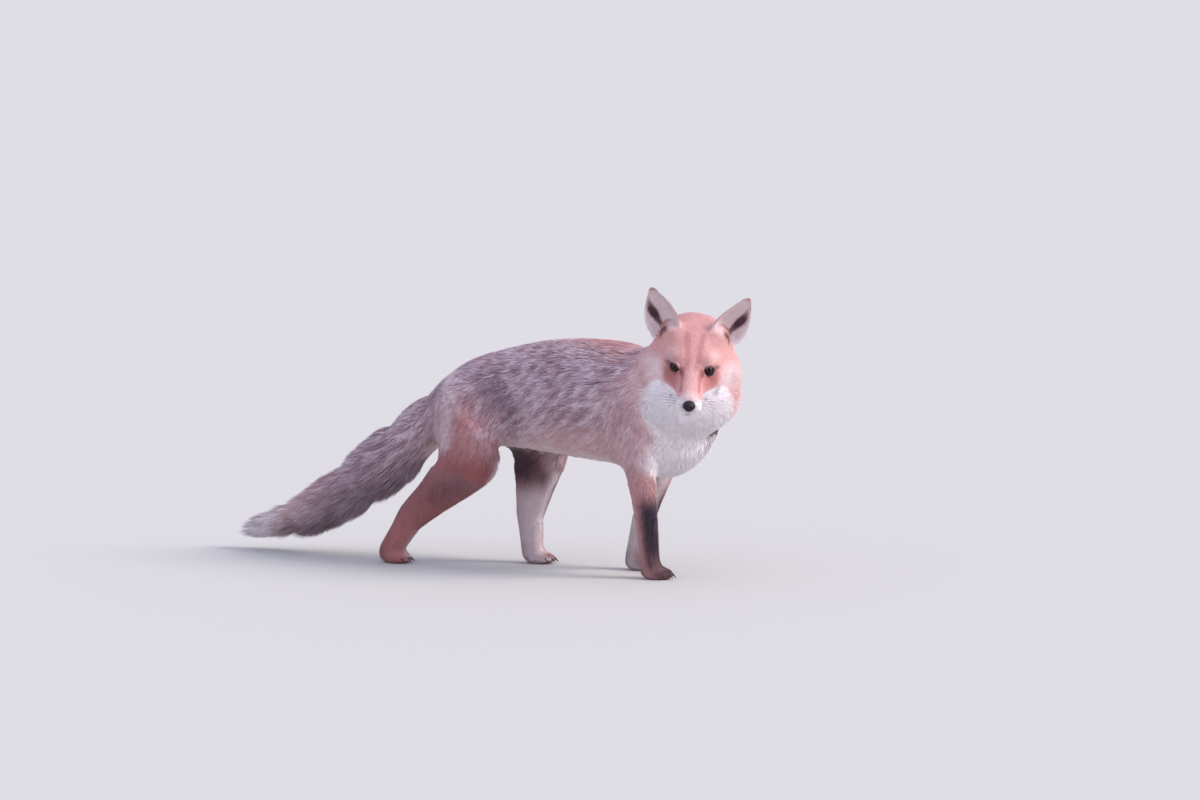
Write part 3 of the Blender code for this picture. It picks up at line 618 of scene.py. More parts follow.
def mark_legs(fields, points, normals, kinds):
    """Dark stripes down the forelegs, and pale inner sides on the hind ones, with painted shade in the groins
    and a painted highlight down their front edges.
    """
    x, y, z = points.T
    middle = centre("trunk")[1]
    ahead = normals[:, 0]
    facing_in = -np.sign(y - middle) * normals[:, 1]
    foreleg = np.isin(kinds, FORELEG)
    # paler inner sides of the forelegs, standing in for a painted highlight on the lit far foreleg
    paint(fields, foreleg * ease(facing_in, 0.1, 0.6), (PALE, 0.75), (RUST, 0.1))
    outward = ahead * 0.9 - facing_in * 0.44
    stripe = foreleg * ease(outward, 0.25, 0.58) * ease(z, 0.145, 0.11)
    paint(fields, stripe, (PALE, 0.0), (DARK, 0.97))
    toes = (kinds == "forefoot") * ease(z, 0.046, 0.03) * ease(ahead + normals[:, 2], 0.1, 0.7)
    paint(fields, toes, (PALE, 0.0), (DARK, 0.8))
    shank = kinds == "shank"
    lay(fields, DARK, shank * ease(z, 0.085, 0.112), 0.4)
    knee = stroke(flat(points), *KNEE, 0.026, 0.2)
    lay(fields, DARK, knee * shank * ease(facing_in, 0.3, -0.1), 0.56)
    elbow = (kinds == "forearm") * ease(z, 0.11, 0.15)
    lay(fields, RUST, 0.8 * elbow * ease(facing_in, 0.2, -0.2), 0.6)
    hind = np.isin(kinds, HINDLEG + ("thigh",))
    inner = hind * ease(facing_in, 0.15, 0.6) * ease(z, 0.2, 0.17)
    paint(fields, inner, (PALE, 0.62), (RUST, 0.08), (DARK, 0.05))
    # painted shade in the groin, between the flank and the hind leg
    groin_shade = inner * ease(z, 0.105, 0.14) * ease(ahead, 0.72, 0.4)
    paint(fields, groin_shade, (PALE, 0.0), (DARK, 0.74))
    # painted shade in the groin, where the belly meets the thighs
    q = np.stack((x, np.abs(y - middle), z), 1)
    patch = blob(q, (0.026, 0.036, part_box("trunk")[0].z + 0.01), (0.062, 0.045, 0.034), 0.45)
    patch *= ease(facing_in, -0.55, -0.1)
    paint(fields, patch, (PALE, 0.0), (RUST, 0.3), (GRIZZLE, 0.0), (DARK, 0.88))
    # painted highlight down the front edges of the hind legs
    edge = hind * ease(ahead, 0.55, 0.85) * ease(facing_in, -0.35, 0.05) * ease(z, 0.185, 0.165)
    paint(fields, edge, (PALE, 0.95), (RUST, 0.0), (DARK, 0.0))


# ---- Locks ----
def unwrapped(name, points, triangles):
    """Each corner's place on an unwrap of these triangles of the skin."""
    obj = object_from(name, mesh_from(name, points, triangles))
    obj.data.uv_layers.new(name="OFBake")
    bpy.context.view_layer.objects.active = obj
    obj.select_set(True)
    bpy.ops.object.mode_set(mode="EDIT")
    bpy.ops.mesh.select_all(action="SELECT")
    bpy.ops.uv.smart_project(angle_limit=math.radians(66), island_margin=0.004)
    bpy.ops.object.mode_set(mode="OBJECT")
    flat = np.empty(len(triangles) * 6, np.float32)
    obj.data.uv_layers[0].data.foreach_get("uv", flat)
    bpy.data.objects.remove(obj)
    return flat.reshape(-1, 3, 2)


def scattered(points, triangles, gap):
    """Even random places: the triangle and the three corner shares of each."""
    areas = lengths_of(crossed(points, triangles)) / 2
    filled = np.floor(np.cumsum(areas / gap[triangles].mean(1) ** 2) + RANDOM.random())
    counts = np.diff(filled, prepend=0).astype(int)
    which = np.repeat(np.arange(len(triangles)), counts)
    root, along = np.sqrt(RANDOM.random(len(which))), RANDOM.random(len(which))
    shares = np.stack((1 - root, root * (1 - along), root * along), 1)
    return which, shares


def waves(points, length, seed):
    """A smooth random number from -1 to 1 that changes over the given length."""
    ways = np.random.default_rng(seed).normal(size=(3, 6)) / length * 2.2
    phases = np.random.default_rng(seed + 1).random(6) * 2 * math.pi
    return np.sin(points @ ways + phases).mean(1) * 1.6


# Where a lock bends: the share of its length, and its rise there as a share of its depth
BEND_AT, BEND_RISE = 0.42, 0.16
PATCH = 0.003  # side of a lock's patch on the unwrap
# A lock's corners are its root, a ring of three and its tip
LOCK_FACES = np.array(((0, 2, 1), (0, 3, 2), (0, 1, 3), (4, 1, 2), (4, 2, 3), (4, 3, 1)))
UNDERSIDES = (0, 3)  # which of a lock's triangles face the skin
LOCK_ALONG = (0.0, 0.42, 0.42, 0.46, 1.0)  # share of the lock's length at each corner, for its darkening toward the root
PATCH_SPOTS = np.array(((0, -1), (-1, 0), (1, 0), (0, 0.2), (0, 1))) * PATCH / 2  # the corners on the patch
SINK = 0.4 * MM  # how deep a lock's root sits in the skin
PULL = 0.3  # share of the way that a tip is drawn toward the middle of its group
SWAY, STRAY = 0.22, 0.1  # radians that locks turn from the coat's lie, in waves and by chance
LENGTHS, DEPTHS, WIDTHS = (0.75, 1.15), (0.8, 1.2), (0.8, 1.2)  # ranges of the locks' own shares of these


def gathered(tips, roots, cell):
    """Tips drawn toward the middle of those whose roots share a cell, so that the hair falls in locks."""
    keys = np.floor((roots + 0.35 * cell * np.sin(roots[:, [1, 2, 0]] * 90)) / cell).astype(int)
    _, group = np.unique(keys, axis=0, return_inverse=True)
    group = group.ravel()
    counts = np.bincount(group)
    middles = np.stack([np.bincount(group, tips[:, k]) / counts for k in range(3)], 1)
    return mixed(tips, middles[group], PULL)


def within(roots, tips, hull, proud):
    """Tips drawn back to the outline, or to where they stand proud of it by no more than is given."""
    reach = tips - roots
    lengths = lengths_of(reach)
    hits = ray_lengths(hull, roots, reach / lengths[:, None], lengths)
    kept = np.minimum(lengths, hits + proud)
    return roots + reach * (kept / lengths)[:, None]


def swayed(root, normal, field):
    """The way each lock lies: the coat's own lie, turned a little in waves and by chance."""
    lie = tangent(field[:, FLOW], normal)
    turn = SWAY * (waves(root, 0.05, 3) + 0.7 * waves(root, 0.012, 5)) + RANDOM.normal(0, STRAY, len(root))
    return lie * np.cos(turn)[:, None] + np.cross(normal, lie) * np.sin(turn)[:, None]


def lock_shapes(root, normal, field, hull, cell):
    """Corners of each lock, and normals that shade its triangles as a part of the coat."""
    count = len(root)
    length = field[:, LENGTH] * RANDOM.uniform(*LENGTHS, count) * (1 + 0.12 * waves(root, 0.02, 9))
    depth = (field[:, DEPTH] * RANDOM.uniform(*DEPTHS, count))[:, None]
    tip = root + swayed(root, normal, field) * length[:, None] + normal * depth
    tip = within(root, gathered(tip, root, cell), hull, field[:, PROUD])
    bend = mixed(root, tip, BEND_AT) + normal * BEND_RISE * depth
    along = unit(tip - root)
    across = unit(np.cross(normal, along))
    above = np.cross(along, across)
    half = (0.5 * field[:, WIDTH] * RANDOM.uniform(*WIDTHS, count))[:, None]
    ring = bend - across * half, bend + across * half, bend + above * half * 0.45
    corners = np.stack((root - normal * SINK, *ring, tip), 1)
    corners[:, :, 2] = np.maximum(corners[:, :, 2], 0.3 * MM)
    facing = unit(0.75 * normal + 0.25 * above)
    under = unit(0.7 * along - above)
    ring = unit(facing - 0.4 * across), unit(facing + 0.4 * across), facing
    shading = np.stack((facing, *ring, unit(facing + 0.15 * along)), 1)[:, LOCK_FACES]
    shading[:, UNDERSIDES] = under[:, None, None]
    return corners, shading


def grow(name, skin, picked, cell):
    """Closed locks over the picked triangles of the skin, as one piece of the coat."""
    used, triangles = np.unique(skin["triangles"][picked], return_inverse=True)
    triangles = triangles.reshape(-1, 3)
    points, normals, fields = (skin[key][used] for key in ("points", "normals", "fields"))
    unwrap = unwrapped(name + "_unwrap", points, triangles)
    which, shares = scattered(points, triangles, fields[:, GAP])

    def here(values):
        return (values[triangles[which]] * shares[:, :, None]).sum(1)

    root, normal, field = here(points), unit(here(normals)), here(fields)
    corners, shading = lock_shapes(root, normal, field, skin["hull"], cell)
    count = len(root)
    faces = (LOCK_FACES[None] + 5 * np.arange(count)[:, None, None]).reshape(-1, 3)
    mesh = mesh_from(name, corners.reshape(-1, 3), faces)
    own_normals = mesh.attributes.new("custom_normal", "FLOAT_VECTOR", "CORNER")
    own_normals.data.foreach_set("vector", shading.astype(np.float32).ravel())
    place = (unwrap[which] * shares[:, :, None]).sum(1)
    spots = np.clip(place[:, None] + PATCH_SPOTS[None], 0, 1).reshape(-1, 2)
    mesh.uv_layers.new(name="OFBake").data.foreach_set("uv", spots[faces].astype(np.float32).ravel())
    way = unit(field[:, FLOW].mean(0))
    drawn_out = root - 0.82 * np.outer(root @ way, way)
    tone = np.clip(0.5 + 0.15 * RANDOM.normal(size=count) + 0.27 * waves(drawn_out, 0.0045, 11), 0, 1)
    give(mesh, "marks", np.repeat(field[:, MARKS], 5, 0))
    per_lock = np.repeat(np.stack((tone, RANDOM.random(count), np.ones(count)), 1), 5, 0)
    give(mesh, "lock", np.concatenate((np.tile(LOCK_ALONG, count)[:, None], per_lock), 1))
    mesh.shade_smooth()
    mesh.materials.append(FUR)
    return object_from(name, mesh)


def give(mesh, name, values):
    """Numbers for the coat's material, four at each corner."""
    attribute = mesh.attributes.new(name, "FLOAT_COLOR", "POINT")
    attribute.data.foreach_set("color", np.asarray(values, np.float32).ravel())


# ---- Materials ----
def linear(red, green, blue):
    channels = (red / 255, green / 255, blue / 255)
    return (*(c / 12.92 if c < 0.04045 else ((c + 0.055) / 1.055) ** 2.4 for c in channels), 1)


BUFF, RED = linear(229, 173, 168), linear(184, 108, 105)
BLACK, CREAM = linear(40, 35, 52), linear(246, 238, 242)
GRIZZLED = (0.25, linear(115, 99, 115)), (0.5, linear(178, 160, 176)), (0.8, linear(228, 214, 225))


def new_material(name, roughness, **sockets):
    material = bpy.data.materials.new(name)
    material.use_nodes = True
    shader = material.node_tree.nodes["Principled BSDF"]
    shader.inputs["Roughness"].default_value = roughness
    for socket, value in sockets.items():
        shader.inputs[socket.replace("_", " ")].default_value = value
    return material, material.node_tree, shader


def node(tree, kind, **settings):
    made = tree.nodes.new("ShaderNode" + kind)
    for key, value in settings.items():
        setattr(made, key, value)
    return made


def link(tree, source, target):
    tree.links.new(source, target)


def math_node(tree, operation, first, second=None, clamp=False):
    made = node(tree, "Math", operation=operation, use_clamp=clamp)
    for socket, value in zip(made.inputs, (first, second)):
        if isinstance(value, (int, float)):
            socket.default_value = value
        elif value is not None:
            link(tree, value, socket)
    return made.outputs[0]


def operations(tree):
    """Plus, minus, times and any other operation on the numbers of a material."""
    named = [partial(math_node, tree, name) for name in ("ADD", "SUBTRACT", "MULTIPLY")]
    return *named, partial(math_node, tree)


def bumpy(tree, shader, height, strength, distance):
    bump = node(tree, "Bump")
    bump.inputs["Strength"].default_value = strength
    bump.inputs["Distance"].default_value = distance
    link(tree, height, bump.inputs["Height"])
    link(tree, bump.outputs[0], shader.inputs["Normal"])


def ramp(tree, share, *stops):
    """A colour that changes with a share, from (place, colour) pairs."""
    made = node(tree, "ValToRGB")
    elements = made.color_ramp.elements
    for element, (place, colour) in zip(elements, (stops[0], stops[-1])):
        element.position, element.color = place, colour
    for place, colour in stops[1:-1]:
        elements.new(place).color = colour
    link(tree, share, made.inputs[0])
    return made.outputs[0]


def ranged(tree, value, limits, **settings):
    """A value scaled from 0 to 1 between named limits; a limit may be a socket."""
    made = node(tree, "MapRange", **settings)
    for name, limit in {"Value": value, **limits}.items():
        if isinstance(limit, float):
            made.inputs[name].default_value = limit
        else:
            link(tree, limit, made.inputs[name])
    return made.outputs[0]


def mix_colour(tree, share, first, second, blend="MIX"):
    made = node(tree, "Mix", data_type="RGBA", blend_type=blend)
    for name, value in (("Factor", share), (6, first), (7, second)):
        socket = made.inputs[name]
        if isinstance(value, (tuple, float)):
            socket.default_value = value
        else:
            link(tree, value, socket)
    return made.outputs[2]


def pattern(tree, kind, output, **inputs):
    """A texture in the piece's own coordinates."""
    made = node(tree, "Tex" + kind)
    for name, value in inputs.items():
        made.inputs[name].default_value = value
    link(tree, node(tree, "TexCoord").outputs["Object"], made.inputs["Vector"])
    return made.outputs[output]


def noise(tree, scale, detail=2.0):
    return pattern(tree, "Noise", "Fac", Scale=scale, Detail=detail)


def fur_material():
    material, tree, shader = new_material("fox_coat", 0.72, Specular_IOR_Level=0.25, Sheen_Weight=0.12)
    plus, minus, times, _ = operations(tree)

    def numbers(attribute):
        """The three colour channels and the alpha of a named attribute."""
        source, parts = node(tree, "Attribute", attribute_name=attribute), node(tree, "SeparateColor")
        link(tree, source.outputs["Color"], parts.inputs[0])
        return *parts.outputs[:3], source.outputs["Alpha"]

    pale, dark, rust, grizzle = numbers("marks")
    along, tone, chance, _ = numbers("lock")
    waver = times(minus(tone, 0.5), 0.25)

    def broken(mask):
        """A mask whose edge breaks up from lock to lock, and nothing where it is nothing."""
        edge = times(times(mask, minus(1.0, mask)), 4.0)  # 1 halfway, 0 where the mask is whole or absent
        return times(plus(mask, times(waver, edge)), 1.0, clamp=True)

    banded = plus(tone, times(minus(noise(tree, 55.0, 3.0), 0.5), 0.4))
    colour = mix_colour(tree, broken(rust), BUFF, RED)
    colour = mix_colour(tree, times(broken(grizzle), 0.88), colour, ramp(tree, banded, *GRIZZLED))
    colour = mix_colour(tree, broken(pale), colour, CREAM)
    colour = mix_colour(tree, broken(dark), colour, BLACK)
    # darker toward the root: partly darker underfur, partly painted shade deep in the coat
    root_shade = plus(0.72, times(pale, 0.16))
    shade = ranged(tree, along, {"From Min": 0.0, "From Max": 0.8, "To Min": root_shade, "To Max": 1.0})
    brightness = times(shade, plus(0.88, times(chance, 0.22)))
    grey = node(tree, "CombineColor")
    for socket in grey.inputs:
        link(tree, brightness, socket)
    link(tree, mix_colour(tree, 1.0, colour, grey.outputs[0], "MULTIPLY"), shader.inputs["Base Color"])
    bumpy(tree, shader, noise(tree, 900.0), 0.25, 0.6 * MM)
    return material


FUR = fur_material()


# ---- Eyelids: closed rims over the eyeballs, part of the skin ----
EYE_WAY = np.array((0.86, 0.4, 0.14))  # the way the left eye opens, in the head's frame
# Degrees, on the left (1), which is the wider, and on the right (-1): half angles of the opening to its outer
# and inner corners, top and bottom, and the rise of its outer corner
LID_OPENING = {1: (60, 64, 42, 39, 6), -1: (64, 68, 25, 23, 27)}
LID_POWER = 1.65  # under 2, so that the opening comes to a point at each end
LID_EDGE = math.radians(112)
# Share of the way from the opening to the lid's far edge, and height over the eyeball in mm; then back along
# its hidden side
LID_FRONT = [
    (0.0, 0.05), (0.015, 0.4), (0.06, 0.85), (0.12, 1.05), (0.24, 1.15), (0.4, 1.1), (0.62, 0.4), (1.0, -0.8)
]
LID_BACK = [(0.9, -1.2), (0.5, -1.2), (0.1, -1.2), (0.0, -0.6)]
LID_SIDES = 48


def eye_axes(side):
    """The eye's own axes in the head's frame: its way out, toward its outer corner, and up."""
    way = unit(EYE_WAY * (1, side, 1))
    slant = math.radians(LID_OPENING[side][4])
    outer = np.array((0, side * math.cos(slant), math.sin(slant)))
    outer = unit(outer - way * (outer @ way))
    return way, outer, side * np.cross(way, outer)


def opening(turns, side):
    """Half angle of the opening at each turn round the eye."""
    outer, inner, top, bottom = (math.radians(angle) for angle in LID_OPENING[side][:4])
    wide = np.where(np.cos(turns) > 0, outer, inner)
    tall = np.where(np.sin(turns) > 0, top, bottom)
    powers = np.abs(np.cos(turns) / wide) ** LID_POWER + np.abs(np.sin(turns) / tall) ** LID_POWER
    return powers ** (-1 / LID_POWER)


def lid(side):
    """Points, triangles and shares from the rim of one eye's lids."""
    way, outer, above = eye_axes(side)
    turns, rows = turns_of(LID_SIDES), []
    out = around(turns, outer, above)
    for share, height in LID_FRONT + LID_BACK:
        angle = mixed(opening(turns, side), LID_EDGE, share)[:, None]
        rows.append((EYE_RADIUS + height * MM) * (np.cos(angle) * way + np.sin(angle) * out))
    points = from_head(np.concatenate(rows) + in_head(centre(EYES[side])))
    triangles = ring_faces(len(rows), LID_SIDES, closed=True, flip=side > 0)
    shares = np.repeat([share for share, _ in LID_FRONT] + [0.0] * len(LID_BACK), LID_SIDES)
    return points, triangles, shares


def cleared(points):
    """Skin under the eyes' openings drawn in behind the eyeballs, and which points were."""
    behind = np.zeros(len(points), bool)
    for side, eye in EYES.items():
        middle = centre(eye)
        offset = points - middle
        distance = lengths_of(offset)
        ahead = (offset / distance[:, None]) @ (HEAD_AXES @ eye_axes(side)[0])
        inside = (distance < EYE_RADIUS + 6 * MM) & (ahead > math.cos(math.radians(66)))
        depth = np.minimum(distance, EYE_RADIUS - 1.5 * MM)
        points = np.where(inside[:, None], middle + offset * (depth / distance)[:, None], points)
        behind |= inside
    return points, behind


# ---- Skin and coat pieces ----
# Near the eyes and the nose: the coat's depth in mm, and between which distances it comes down to that; then
# between which distances the hair shortens, and the shares of its length and width that it loses
EYE_COAT = (0.9, 0.024, 0.013), (0.028, 0.011, 0.62, 0.35)
NOSE_COAT = (1.2, 0.026, 0.012), (0.03, 0.01, 0.65, 0.4)
FACE_COAT = {"eye_left": EYE_COAT, "eye_right": EYE_COAT, "nose": NOSE_COAT}
BARE_NOSE = 0.0098  # the skin is bare within this distance of the nose's middle
LASH_FROM, LASH_TO = 0.1, 0.99  # shares of the lid that carry hair


def seen_from(points, normals, fields, on_head):
    """Where the middle of each place's hair lies, so that a mark shows where it is meant to."""
    reach = mixed(0.5, 0.35, on_head) * fields[:, LENGTH]
    for feature in FACE_COAT:
        reach *= 1 - 0.75 * on_head * ease(near(points, centre(feature)), 0.034, 0.016)
    return points + tangent(fields[:, FLOW], normals) * reach[:, None]


def coat_depth(points, normals, fields, hull):
    """How far the skin lies inside the outline, never through the thin parts."""
    depth = np.minimum(fields[:, DEPTH], 0.62 * half_thickness(points, normals, hull))
    for feature, ((depth_there, far, close), _) in FACE_COAT.items():
        depth = mixed(depth, depth_there * MM, ease(near(points, centre(feature)), far, close))
    return depth[:, None]


def lid_fields(side, shares, points, drawn, fields, behind):
    """The coat's fields on a lid: those of the nearest skin, with short fine hair and a dark rim."""
    around = np.flatnonzero(near(drawn[: len(behind)], centre(EYES[side])) < 0.025)
    around = around[~behind[around]]
    result = fields[[around[np.argmin(near(drawn[around], point))] for point in points]]
    result[:, LENGTH] = mixed(2.4, 4.6, np.clip(shares * 1.5, 0, 1)) * MM
    result[:, [WIDTH, GAP, DEPTH, PROUD]] = np.array((0.85, 0.62, 0.8, 3.0)) * MM
    paint(result, ease(shares, 0.22, 0.09), (DARK, 0.97), (PALE, 0.0))
    return result


def make_skin():
    points, triangles, edges, nodes, fields = outer_surface()
    hull = BVHTree.FromPolygons(points.tolist(), triangles.tolist())
    normals = corner_normals(points, triangles)
    on_head = (FLESH_KINDS[nodes] == "head").astype(float)
    seen = seen_from(points, normals, fields, on_head)
    mark_body(fields, seen, normals, nodes)
    fields[:, MARKS] = spread(fields[:, MARKS], edges, 12)
    mark_face(fields, seen, on_head)
    mark_ears(fields, seen, normals, nodes)
    depth = spread(coat_depth(points, normals, fields, hull), edges, 8)
    drawn = draw_in(points, triangles, edges, depth)
    on_tail = np.char.startswith(FLESH_KINDS[nodes], "tail")
    drawn = draw_in_tail(drawn, points, on_tail, fields[:, DEPTH])
    drawn, behind = cleared(drawn)
    normals = corner_normals(drawn, triangles)
    fields[:, FLOW] = tangent(fields[:, FLOW], normals)
    fields[:, FLOW] = tangent(spread(fields[:, FLOW], edges, 6), normals)
    for feature, (_, (far, close, shorter, thinner)) in FACE_COAT.items():
        short = on_head * ease(near(drawn, centre(feature)), far, close)
        fields[:, LENGTH] *= 1 - shorter * short
        fields[:, WIDTH] *= 1 - thinner * short
    bare = behind | (near(drawn, centre("nose")) < BARE_NOSE)
    owner = np.where(bare[triangles].any(1), -1, nodes[triangles[:, 0]])
    for side in EYES:
        lid_points, faces, shares = lid(side)
        furred = (shares[faces] > LASH_FROM).all(1) & (shares[faces] < LASH_TO).all(1)
        owner = np.concatenate((owner, np.where(furred, FLESH.index("head"), -1)))
        fields = np.concatenate((fields, lid_fields(side, shares, lid_points, drawn, fields, behind)))
        triangles = np.concatenate((triangles, faces + len(drawn)))
        drawn = np.concatenate((drawn, lid_points))
        normals = np.concatenate((normals, corner_normals(lid_points, faces)))
    mesh = mesh_from("skin", drawn, triangles)
    give(mesh, "marks", fields[:, MARKS])
    tone = np.clip(0.5 + 0.3 * waves(drawn, 0.004, 21), 0, 1)
    # painted shade: the skin darker where the coat over it is deep
    along = mixed(0.7, 0.25, ease(fields[:, DEPTH], 3 * MM, 8 * MM))
    give(mesh, "lock", np.stack((along, tone, np.full(len(drawn), 0.5), np.ones(len(drawn))), 1))
    mesh.materials.append(FUR)
    mesh.shade_smooth()
    piece = object_from("skin", mesh)
    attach(piece, "root")
    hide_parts(*FLESH)
    return dict(points=drawn, triangles=triangles, normals=normals, fields=fields, owner=owner, hull=hull)


def make_coat(skin):
    kinds = np.append(FLESH_KINDS, "bare")[skin["owner"]]
    middle = skin["points"][skin["triangles"]].mean(1)
    right = middle[:, 1] < centre("trunk")[1]
    face_right = in_head(middle)[:, 1] < 0
    pieces = {
        "coat_trunk_right": ((kinds == "trunk") & right, "coat_grizzled", 0.011),
        "coat_trunk_left": ((kinds == "trunk") & ~right, "coat_grizzled", 0.011),
        "coat_neck": (kinds == "neck", "coat_bib", 0.01),
        "coat_head_right": ((kinds == "head") & face_right, "coat_face", 0.004),
        "coat_head_left": ((kinds == "head") & ~face_right, "coat_face", 0.004),
        "coat_ears": (kinds == "ear", "coat_ear", 0.004),
        "coat_tail_root": (kinds == "tail_root", "coat_tail", 0.013),
        "coat_tail_middle": (kinds == "tail_middle", "coat_tail", 0.014),
        "coat_tail_tip": (kinds == "tail_tip", "coat_tail_tip", 0.013),
        "coat_shoulders": (kinds == "upper_arm", "coat_foreleg", 0.008),
        "coat_forelegs": (np.isin(kinds, FORELEG), "coat_foreleg", 0.005),
        "coat_thighs": (kinds == "thigh", "coat_hindleg", 0.009),
        "coat_hindlegs": (np.isin(kinds, HINDLEG), "coat_hindleg", 0.005),
    }
    for name, (picked, slot, cell) in pieces.items():
        piece = grow(name, skin, picked, cell)
        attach(piece, "root")


# ---- Eyes, nose, whiskers and claws ----
def axes_along(way, above):
    """Axes with x along `way` and z as near to `above` as it allows."""
    across = unit(np.cross(above, way))
    return np.stack((way, across, np.cross(way, across)), 1)


def placed(name, points, triangles, axes, place, material, slot):
    """A piece whose own coordinates have their origin at `place`, riding on the body."""
    mesh = mesh_from(name, points, triangles)
    mesh.materials.append(material)
    mesh.shade_smooth()
    piece = object_from(name, mesh)
    piece.matrix_world = Matrix.Translation(place) @ Matrix(axes).to_4x4()
    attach(piece, "root")
    return piece


IRIS, CORNEA_RISE = 0.66, 0.05  # the iris's radius and the cornea's bulge, as shares of the eyeball's radius
PUPIL = 0.3, 0.42  # half its width and height, as shares of the same
IRIS_RAMP = [(0.3, linear(112, 72, 48)), (0.58, linear(84, 52, 38))]  # from the pupil out
IRIS_RAMP += [(0.8, linear(52, 32, 26)), (0.95, linear(24, 14, 12))]


def eye_material():
    material, tree, shader = new_material(
        "fox_eye", 0.35, Specular_IOR_Level=0.0, Coat_Weight=0.35, Coat_Roughness=0.02
    )
    plus, minus, times, maths = operations(tree)
    place = node(tree, "SeparateXYZ")
    link(tree, node(tree, "TexCoord").outputs["Object"], place.inputs[0])
    y, z = (maths("DIVIDE", place.outputs[axis], EYE_RADIUS) for axis in (1, 2))

    def squared(way, size):
        return maths("POWER", maths("ABSOLUTE", maths("DIVIDE", way, size)), 2.0)

    def oval(width, height):
        """1 on the rim of an upright oval, less inside it."""
        return maths("SQRT", plus(squared(y, width), squared(z, height)))

    fibres = times(minus(noise(tree, 1400.0), 0.5), 0.35)
    iris = ramp(tree, plus(oval(IRIS, IRIS), fibres), *IRIS_RAMP)
    pupil = ranged(tree, oval(*PUPIL), {"From Min": 0.88, "From Max": 1.1}, interpolation_type="SMOOTHSTEP")
    link(tree, mix_colour(tree, pupil, linear(10, 8, 9), iris), shader.inputs["Base Color"])
    return material


def make_eyes():
    material = eye_material()
    points, triangles = sphere_rows(28, 40)
    off_axis = np.arccos(np.clip(points[:, 0], -1, 1))
    radius = EYE_RADIUS * (1 + CORNEA_RISE * ease(off_axis, 0.75, 0.15))
    points = points * radius[:, None]
    for side, name in EYES.items():
        gaze = unit(0.62 * view_back() + 0.38 * (HEAD_AXES @ eye_axes(side)[0]))
        axes = axes_along(gaze, HEAD_AXES[:, 2])
        piece = placed("eyeball" + name[3:], points, triangles, axes, centre(name), material, "eye")
        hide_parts(name)


# The left nostril and the slit behind it: their way from the pad's middle, depth in mm and width
NOSTRIL = (0.86, 0.44, -0.02), 3.4, 0.19
NOSTRIL_SLIT = (0.56, 0.8, -0.16), 1.8, 0.16


def nose_material():
    material, tree, shader = new_material("fox_nose", 0.42, Specular_IOR_Level=0.3)
    bumpy(tree, shader, pattern(tree, "Voronoi", "Distance", Scale=1500.0), 0.5, 0.4 * MM)
    tint = mix_colour(tree, noise(tree, 300.0), linear(20, 18, 26), linear(36, 32, 44))
    link(tree, tint, shader.inputs["Base Color"])
    return material


def make_nose():
    """The pad, with two nostrils and the groove between them."""
    ways, triangles = sphere_rows(40, 56)
    low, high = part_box("nose")
    half = float(max(high - low)) / 2
    points = ways * half * np.array((0.98, 1.06, 0.98))
    for side in (-1, 1):
        for place, depth, width in (NOSTRIL, NOSTRIL_SLIT):
            away = near(ways, unit(np.array(place) * (1, side, 1)))
            points -= ways * (depth * MM * np.exp(-((away / width) ** 2)))[:, None]
    groove = np.exp(-((ways[:, 1] / 0.07) ** 2)) * ease(ways[:, 2], 0.15, -0.15) * ease(ways[:, 0], 0.2, 0.5)
    points -= ways * (0.9 * MM * groove)[:, None]
    points[:, 2] -= 0.6 * MM * ease(ways[:, 2], 0.55, 1.0)
    points[:, 1] *= 1 - 0.3 * ease(ways[:, 2], 0.1, -0.95)
    piece = placed("nose_pad", points, triangles, HEAD_AXES, centre("nose"), nose_material(), "nose")
    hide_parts("nose")


ASKEW = (0.31, 0.22, 0.93)  # a way that no whisker or claw runs along


def taper(path, radii, sides):
    """A closed tapered tube along a path, ending in a point at each end."""
    path, rows = np.asarray(path, float), []
    for place, radius in enumerate(radii):
        way = unit(path[min(place + 1, len(path) - 1)] - path[max(place - 1, 0)])
        first = unit(np.cross(way, ASKEW))
        rows.append(path[place] + radius * around(turns_of(sides), first, np.cross(way, first)))
    return np.concatenate(rows + [path[:1], path[-1:]]), capped(len(rows), sides)


def plain(name, colour, roughness, speckle):
    """A finish of one colour, a little darker in patches."""
    material, tree, shader = new_material(name, roughness)
    darker = tuple(channel * (1 - speckle) for channel in colour[:3]) + (1,)
    link(tree, mix_colour(tree, noise(tree, 400.0), colour, darker), shader.inputs["Base Color"])
    return material


def make_whiskers():
    shapes = []
    for side in (-1, 1):
        for row, rise in enumerate((-0.0275, -0.0315, -0.035)):
            for step in range(4):
                root = np.array((0.064 - 0.0065 * step - 0.002 * row, side * (0.0135 + 0.0008 * step), rise))
                length = 0.03 + 0.0055 * step + 0.003 * row
                way = unit(np.array((-0.15 - 0.1 * step, side * 1.0, 0.1 - 0.16 * row)))
                shares = np.linspace(0, 1, 7)
                path = root + np.outer(shares, way) * length
                path += np.outer(shares**2, (-0.28, 0, -0.22)) * length
                shapes.append(taper(from_head(path), mixed(0.16, 0.04, shares) * MM, 4))
    finish = plain("whisker", linear(84, 70, 70), 0.5, 0.3)
    placed("whiskers", *gather(shapes)[:2], np.eye(3), (0, 0, 0), finish, "nose")


TOE_SPREAD = (-0.0142, -0.005, 0.005, 0.0142)
OUTER_TOE_BACK = 0.0075
TOE_HEIGHT = 0.012  # the toes are looked for below this


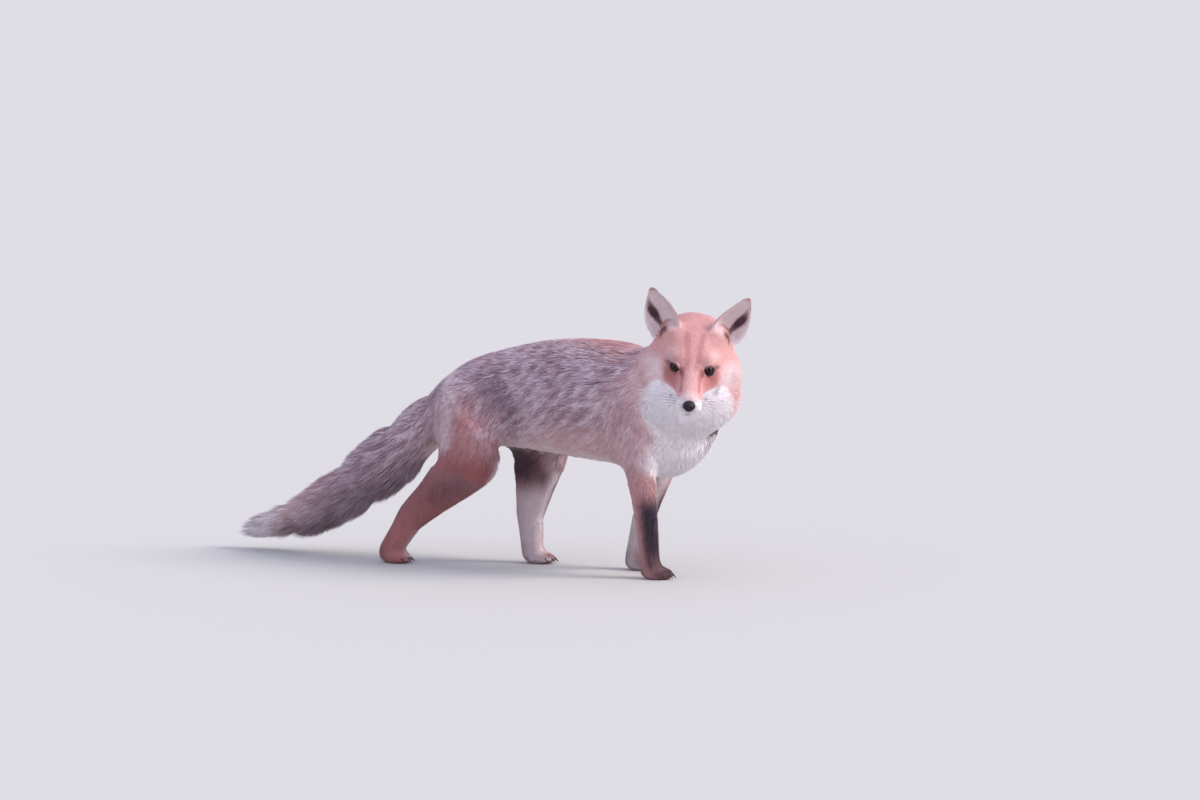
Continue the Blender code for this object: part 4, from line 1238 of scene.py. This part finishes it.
def make_claws():
    shapes = []
    for foot in (name for name in FLESH if "foot" in name):
        sole, _ = mesh_arrays(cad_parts[foot].data)
        sole = sole[sole[:, 2] < TOE_HEIGHT]
        middle = (sole[:, 1].min() + sole[:, 1].max()) / 2
        for aside in TOE_SPREAD:
            ahead = sole[:, 0].max() - 0.0045 - (OUTER_TOE_BACK if abs(aside) > 0.01 else 0)
            root = np.array((ahead, middle + aside, 0.0095))
            shares = np.linspace(0, 1, 7)[:, None]
            path = root + shares * np.array((0.0105, 0, -0.0015)) - shares**2 * np.array((0.001, 0, 0.0055))
            shapes.append(taper(path, mixed(1.55, 0.25, shares[:, 0] ** 1.4) * MM, 8))
    finish = plain("claw", linear(66, 56, 52), 0.35, 0.4)
    placed("claws", *gather(shapes)[:2], np.eye(3), (0, 0, 0), finish, "nose")


# ---- Studio ----
# The camera's turn from the fox's right side, and how far above level it stands
VIEW_TURN, VIEW_RISE = math.radians(28), math.radians(6)
VIEW_WIDTH = 1.875  # metres across the picture at the fox
DISTANCE = 18.0
SENSOR = 0.036
LOOK_ASIDE, LOOK_UP = 0.0289, 0.2656  # the picture's middle, from a point on the floor inside the stance
STANCE = np.array((0.1538, 0.0272, 0.0))
FLOOR_CORNERS = 60.0 * np.array(((-1, -1, 0), (1, -1, 0), (1, 1, 0), (-1, 1, 0.0)))
SKY_COLOUR, SKY_POWER = (0.77, 0.79, 1.0, 1), 1.02
# One far, wide, soft light
KEY_COLOUR, KEY_POWER, KEY_SPREAD = (1.0, 0.89, 0.84), 2.9, math.radians(26)


def view_back():
    """From the fox to the camera."""
    level = math.cos(VIEW_RISE)
    return np.array((math.sin(VIEW_TURN) * level, -math.cos(VIEW_TURN) * level, math.sin(VIEW_RISE)))


def studio():
    back = view_back()
    right = np.array((math.cos(VIEW_TURN), math.sin(VIEW_TURN), 0))
    up = np.cross(back, right)
    target = STANCE + right * LOOK_ASIDE + up * LOOK_UP
    camera_data = bpy.data.cameras.new("camera")
    camera_data.sensor_width = SENSOR * 1000
    camera_data.lens = SENSOR * 1000 * DISTANCE / VIEW_WIDTH
    camera_data.clip_end = 200
    camera = object_from("camera", camera_data)
    facing = Matrix(np.stack((right, up, back), 1)).to_4x4()
    camera.matrix_world = Matrix.Translation(target + back * DISTANCE) @ facing
    bpy.context.scene.camera = camera
    floor = object_from("floor", mesh_from("floor", FLOOR_CORNERS, np.array(((0, 1, 2), (0, 2, 3)))))
    material, tree, shader = new_material("floor", 0.9)
    shader.inputs["Base Color"].default_value = linear(196, 196, 190)
    floor.data.materials.append(material)
    world = bpy.data.worlds.new("studio")
    bpy.context.scene.world = world
    world.use_nodes = True
    sky = world.node_tree.nodes["Background"].inputs
    sky[0].default_value, sky[1].default_value = SKY_COLOUR, SKY_POWER
    data = bpy.data.lights.new("key", "SUN")
    data.energy, data.angle, data.color = KEY_POWER, KEY_SPREAD, KEY_COLOUR
    key = object_from("key", data)
    key_way = Vector(-(back * 0.7 + right * 1.9 + up * 1.3))
    key.matrix_world = key_way.to_track_quat("-Z", "Y").to_matrix().to_4x4()
    bpy.context.scene.view_settings.view_transform = "Standard"


skin = make_skin()
make_coat(skin)
make_eyes()
make_nose()
make_whiskers()
make_claws()
studio()
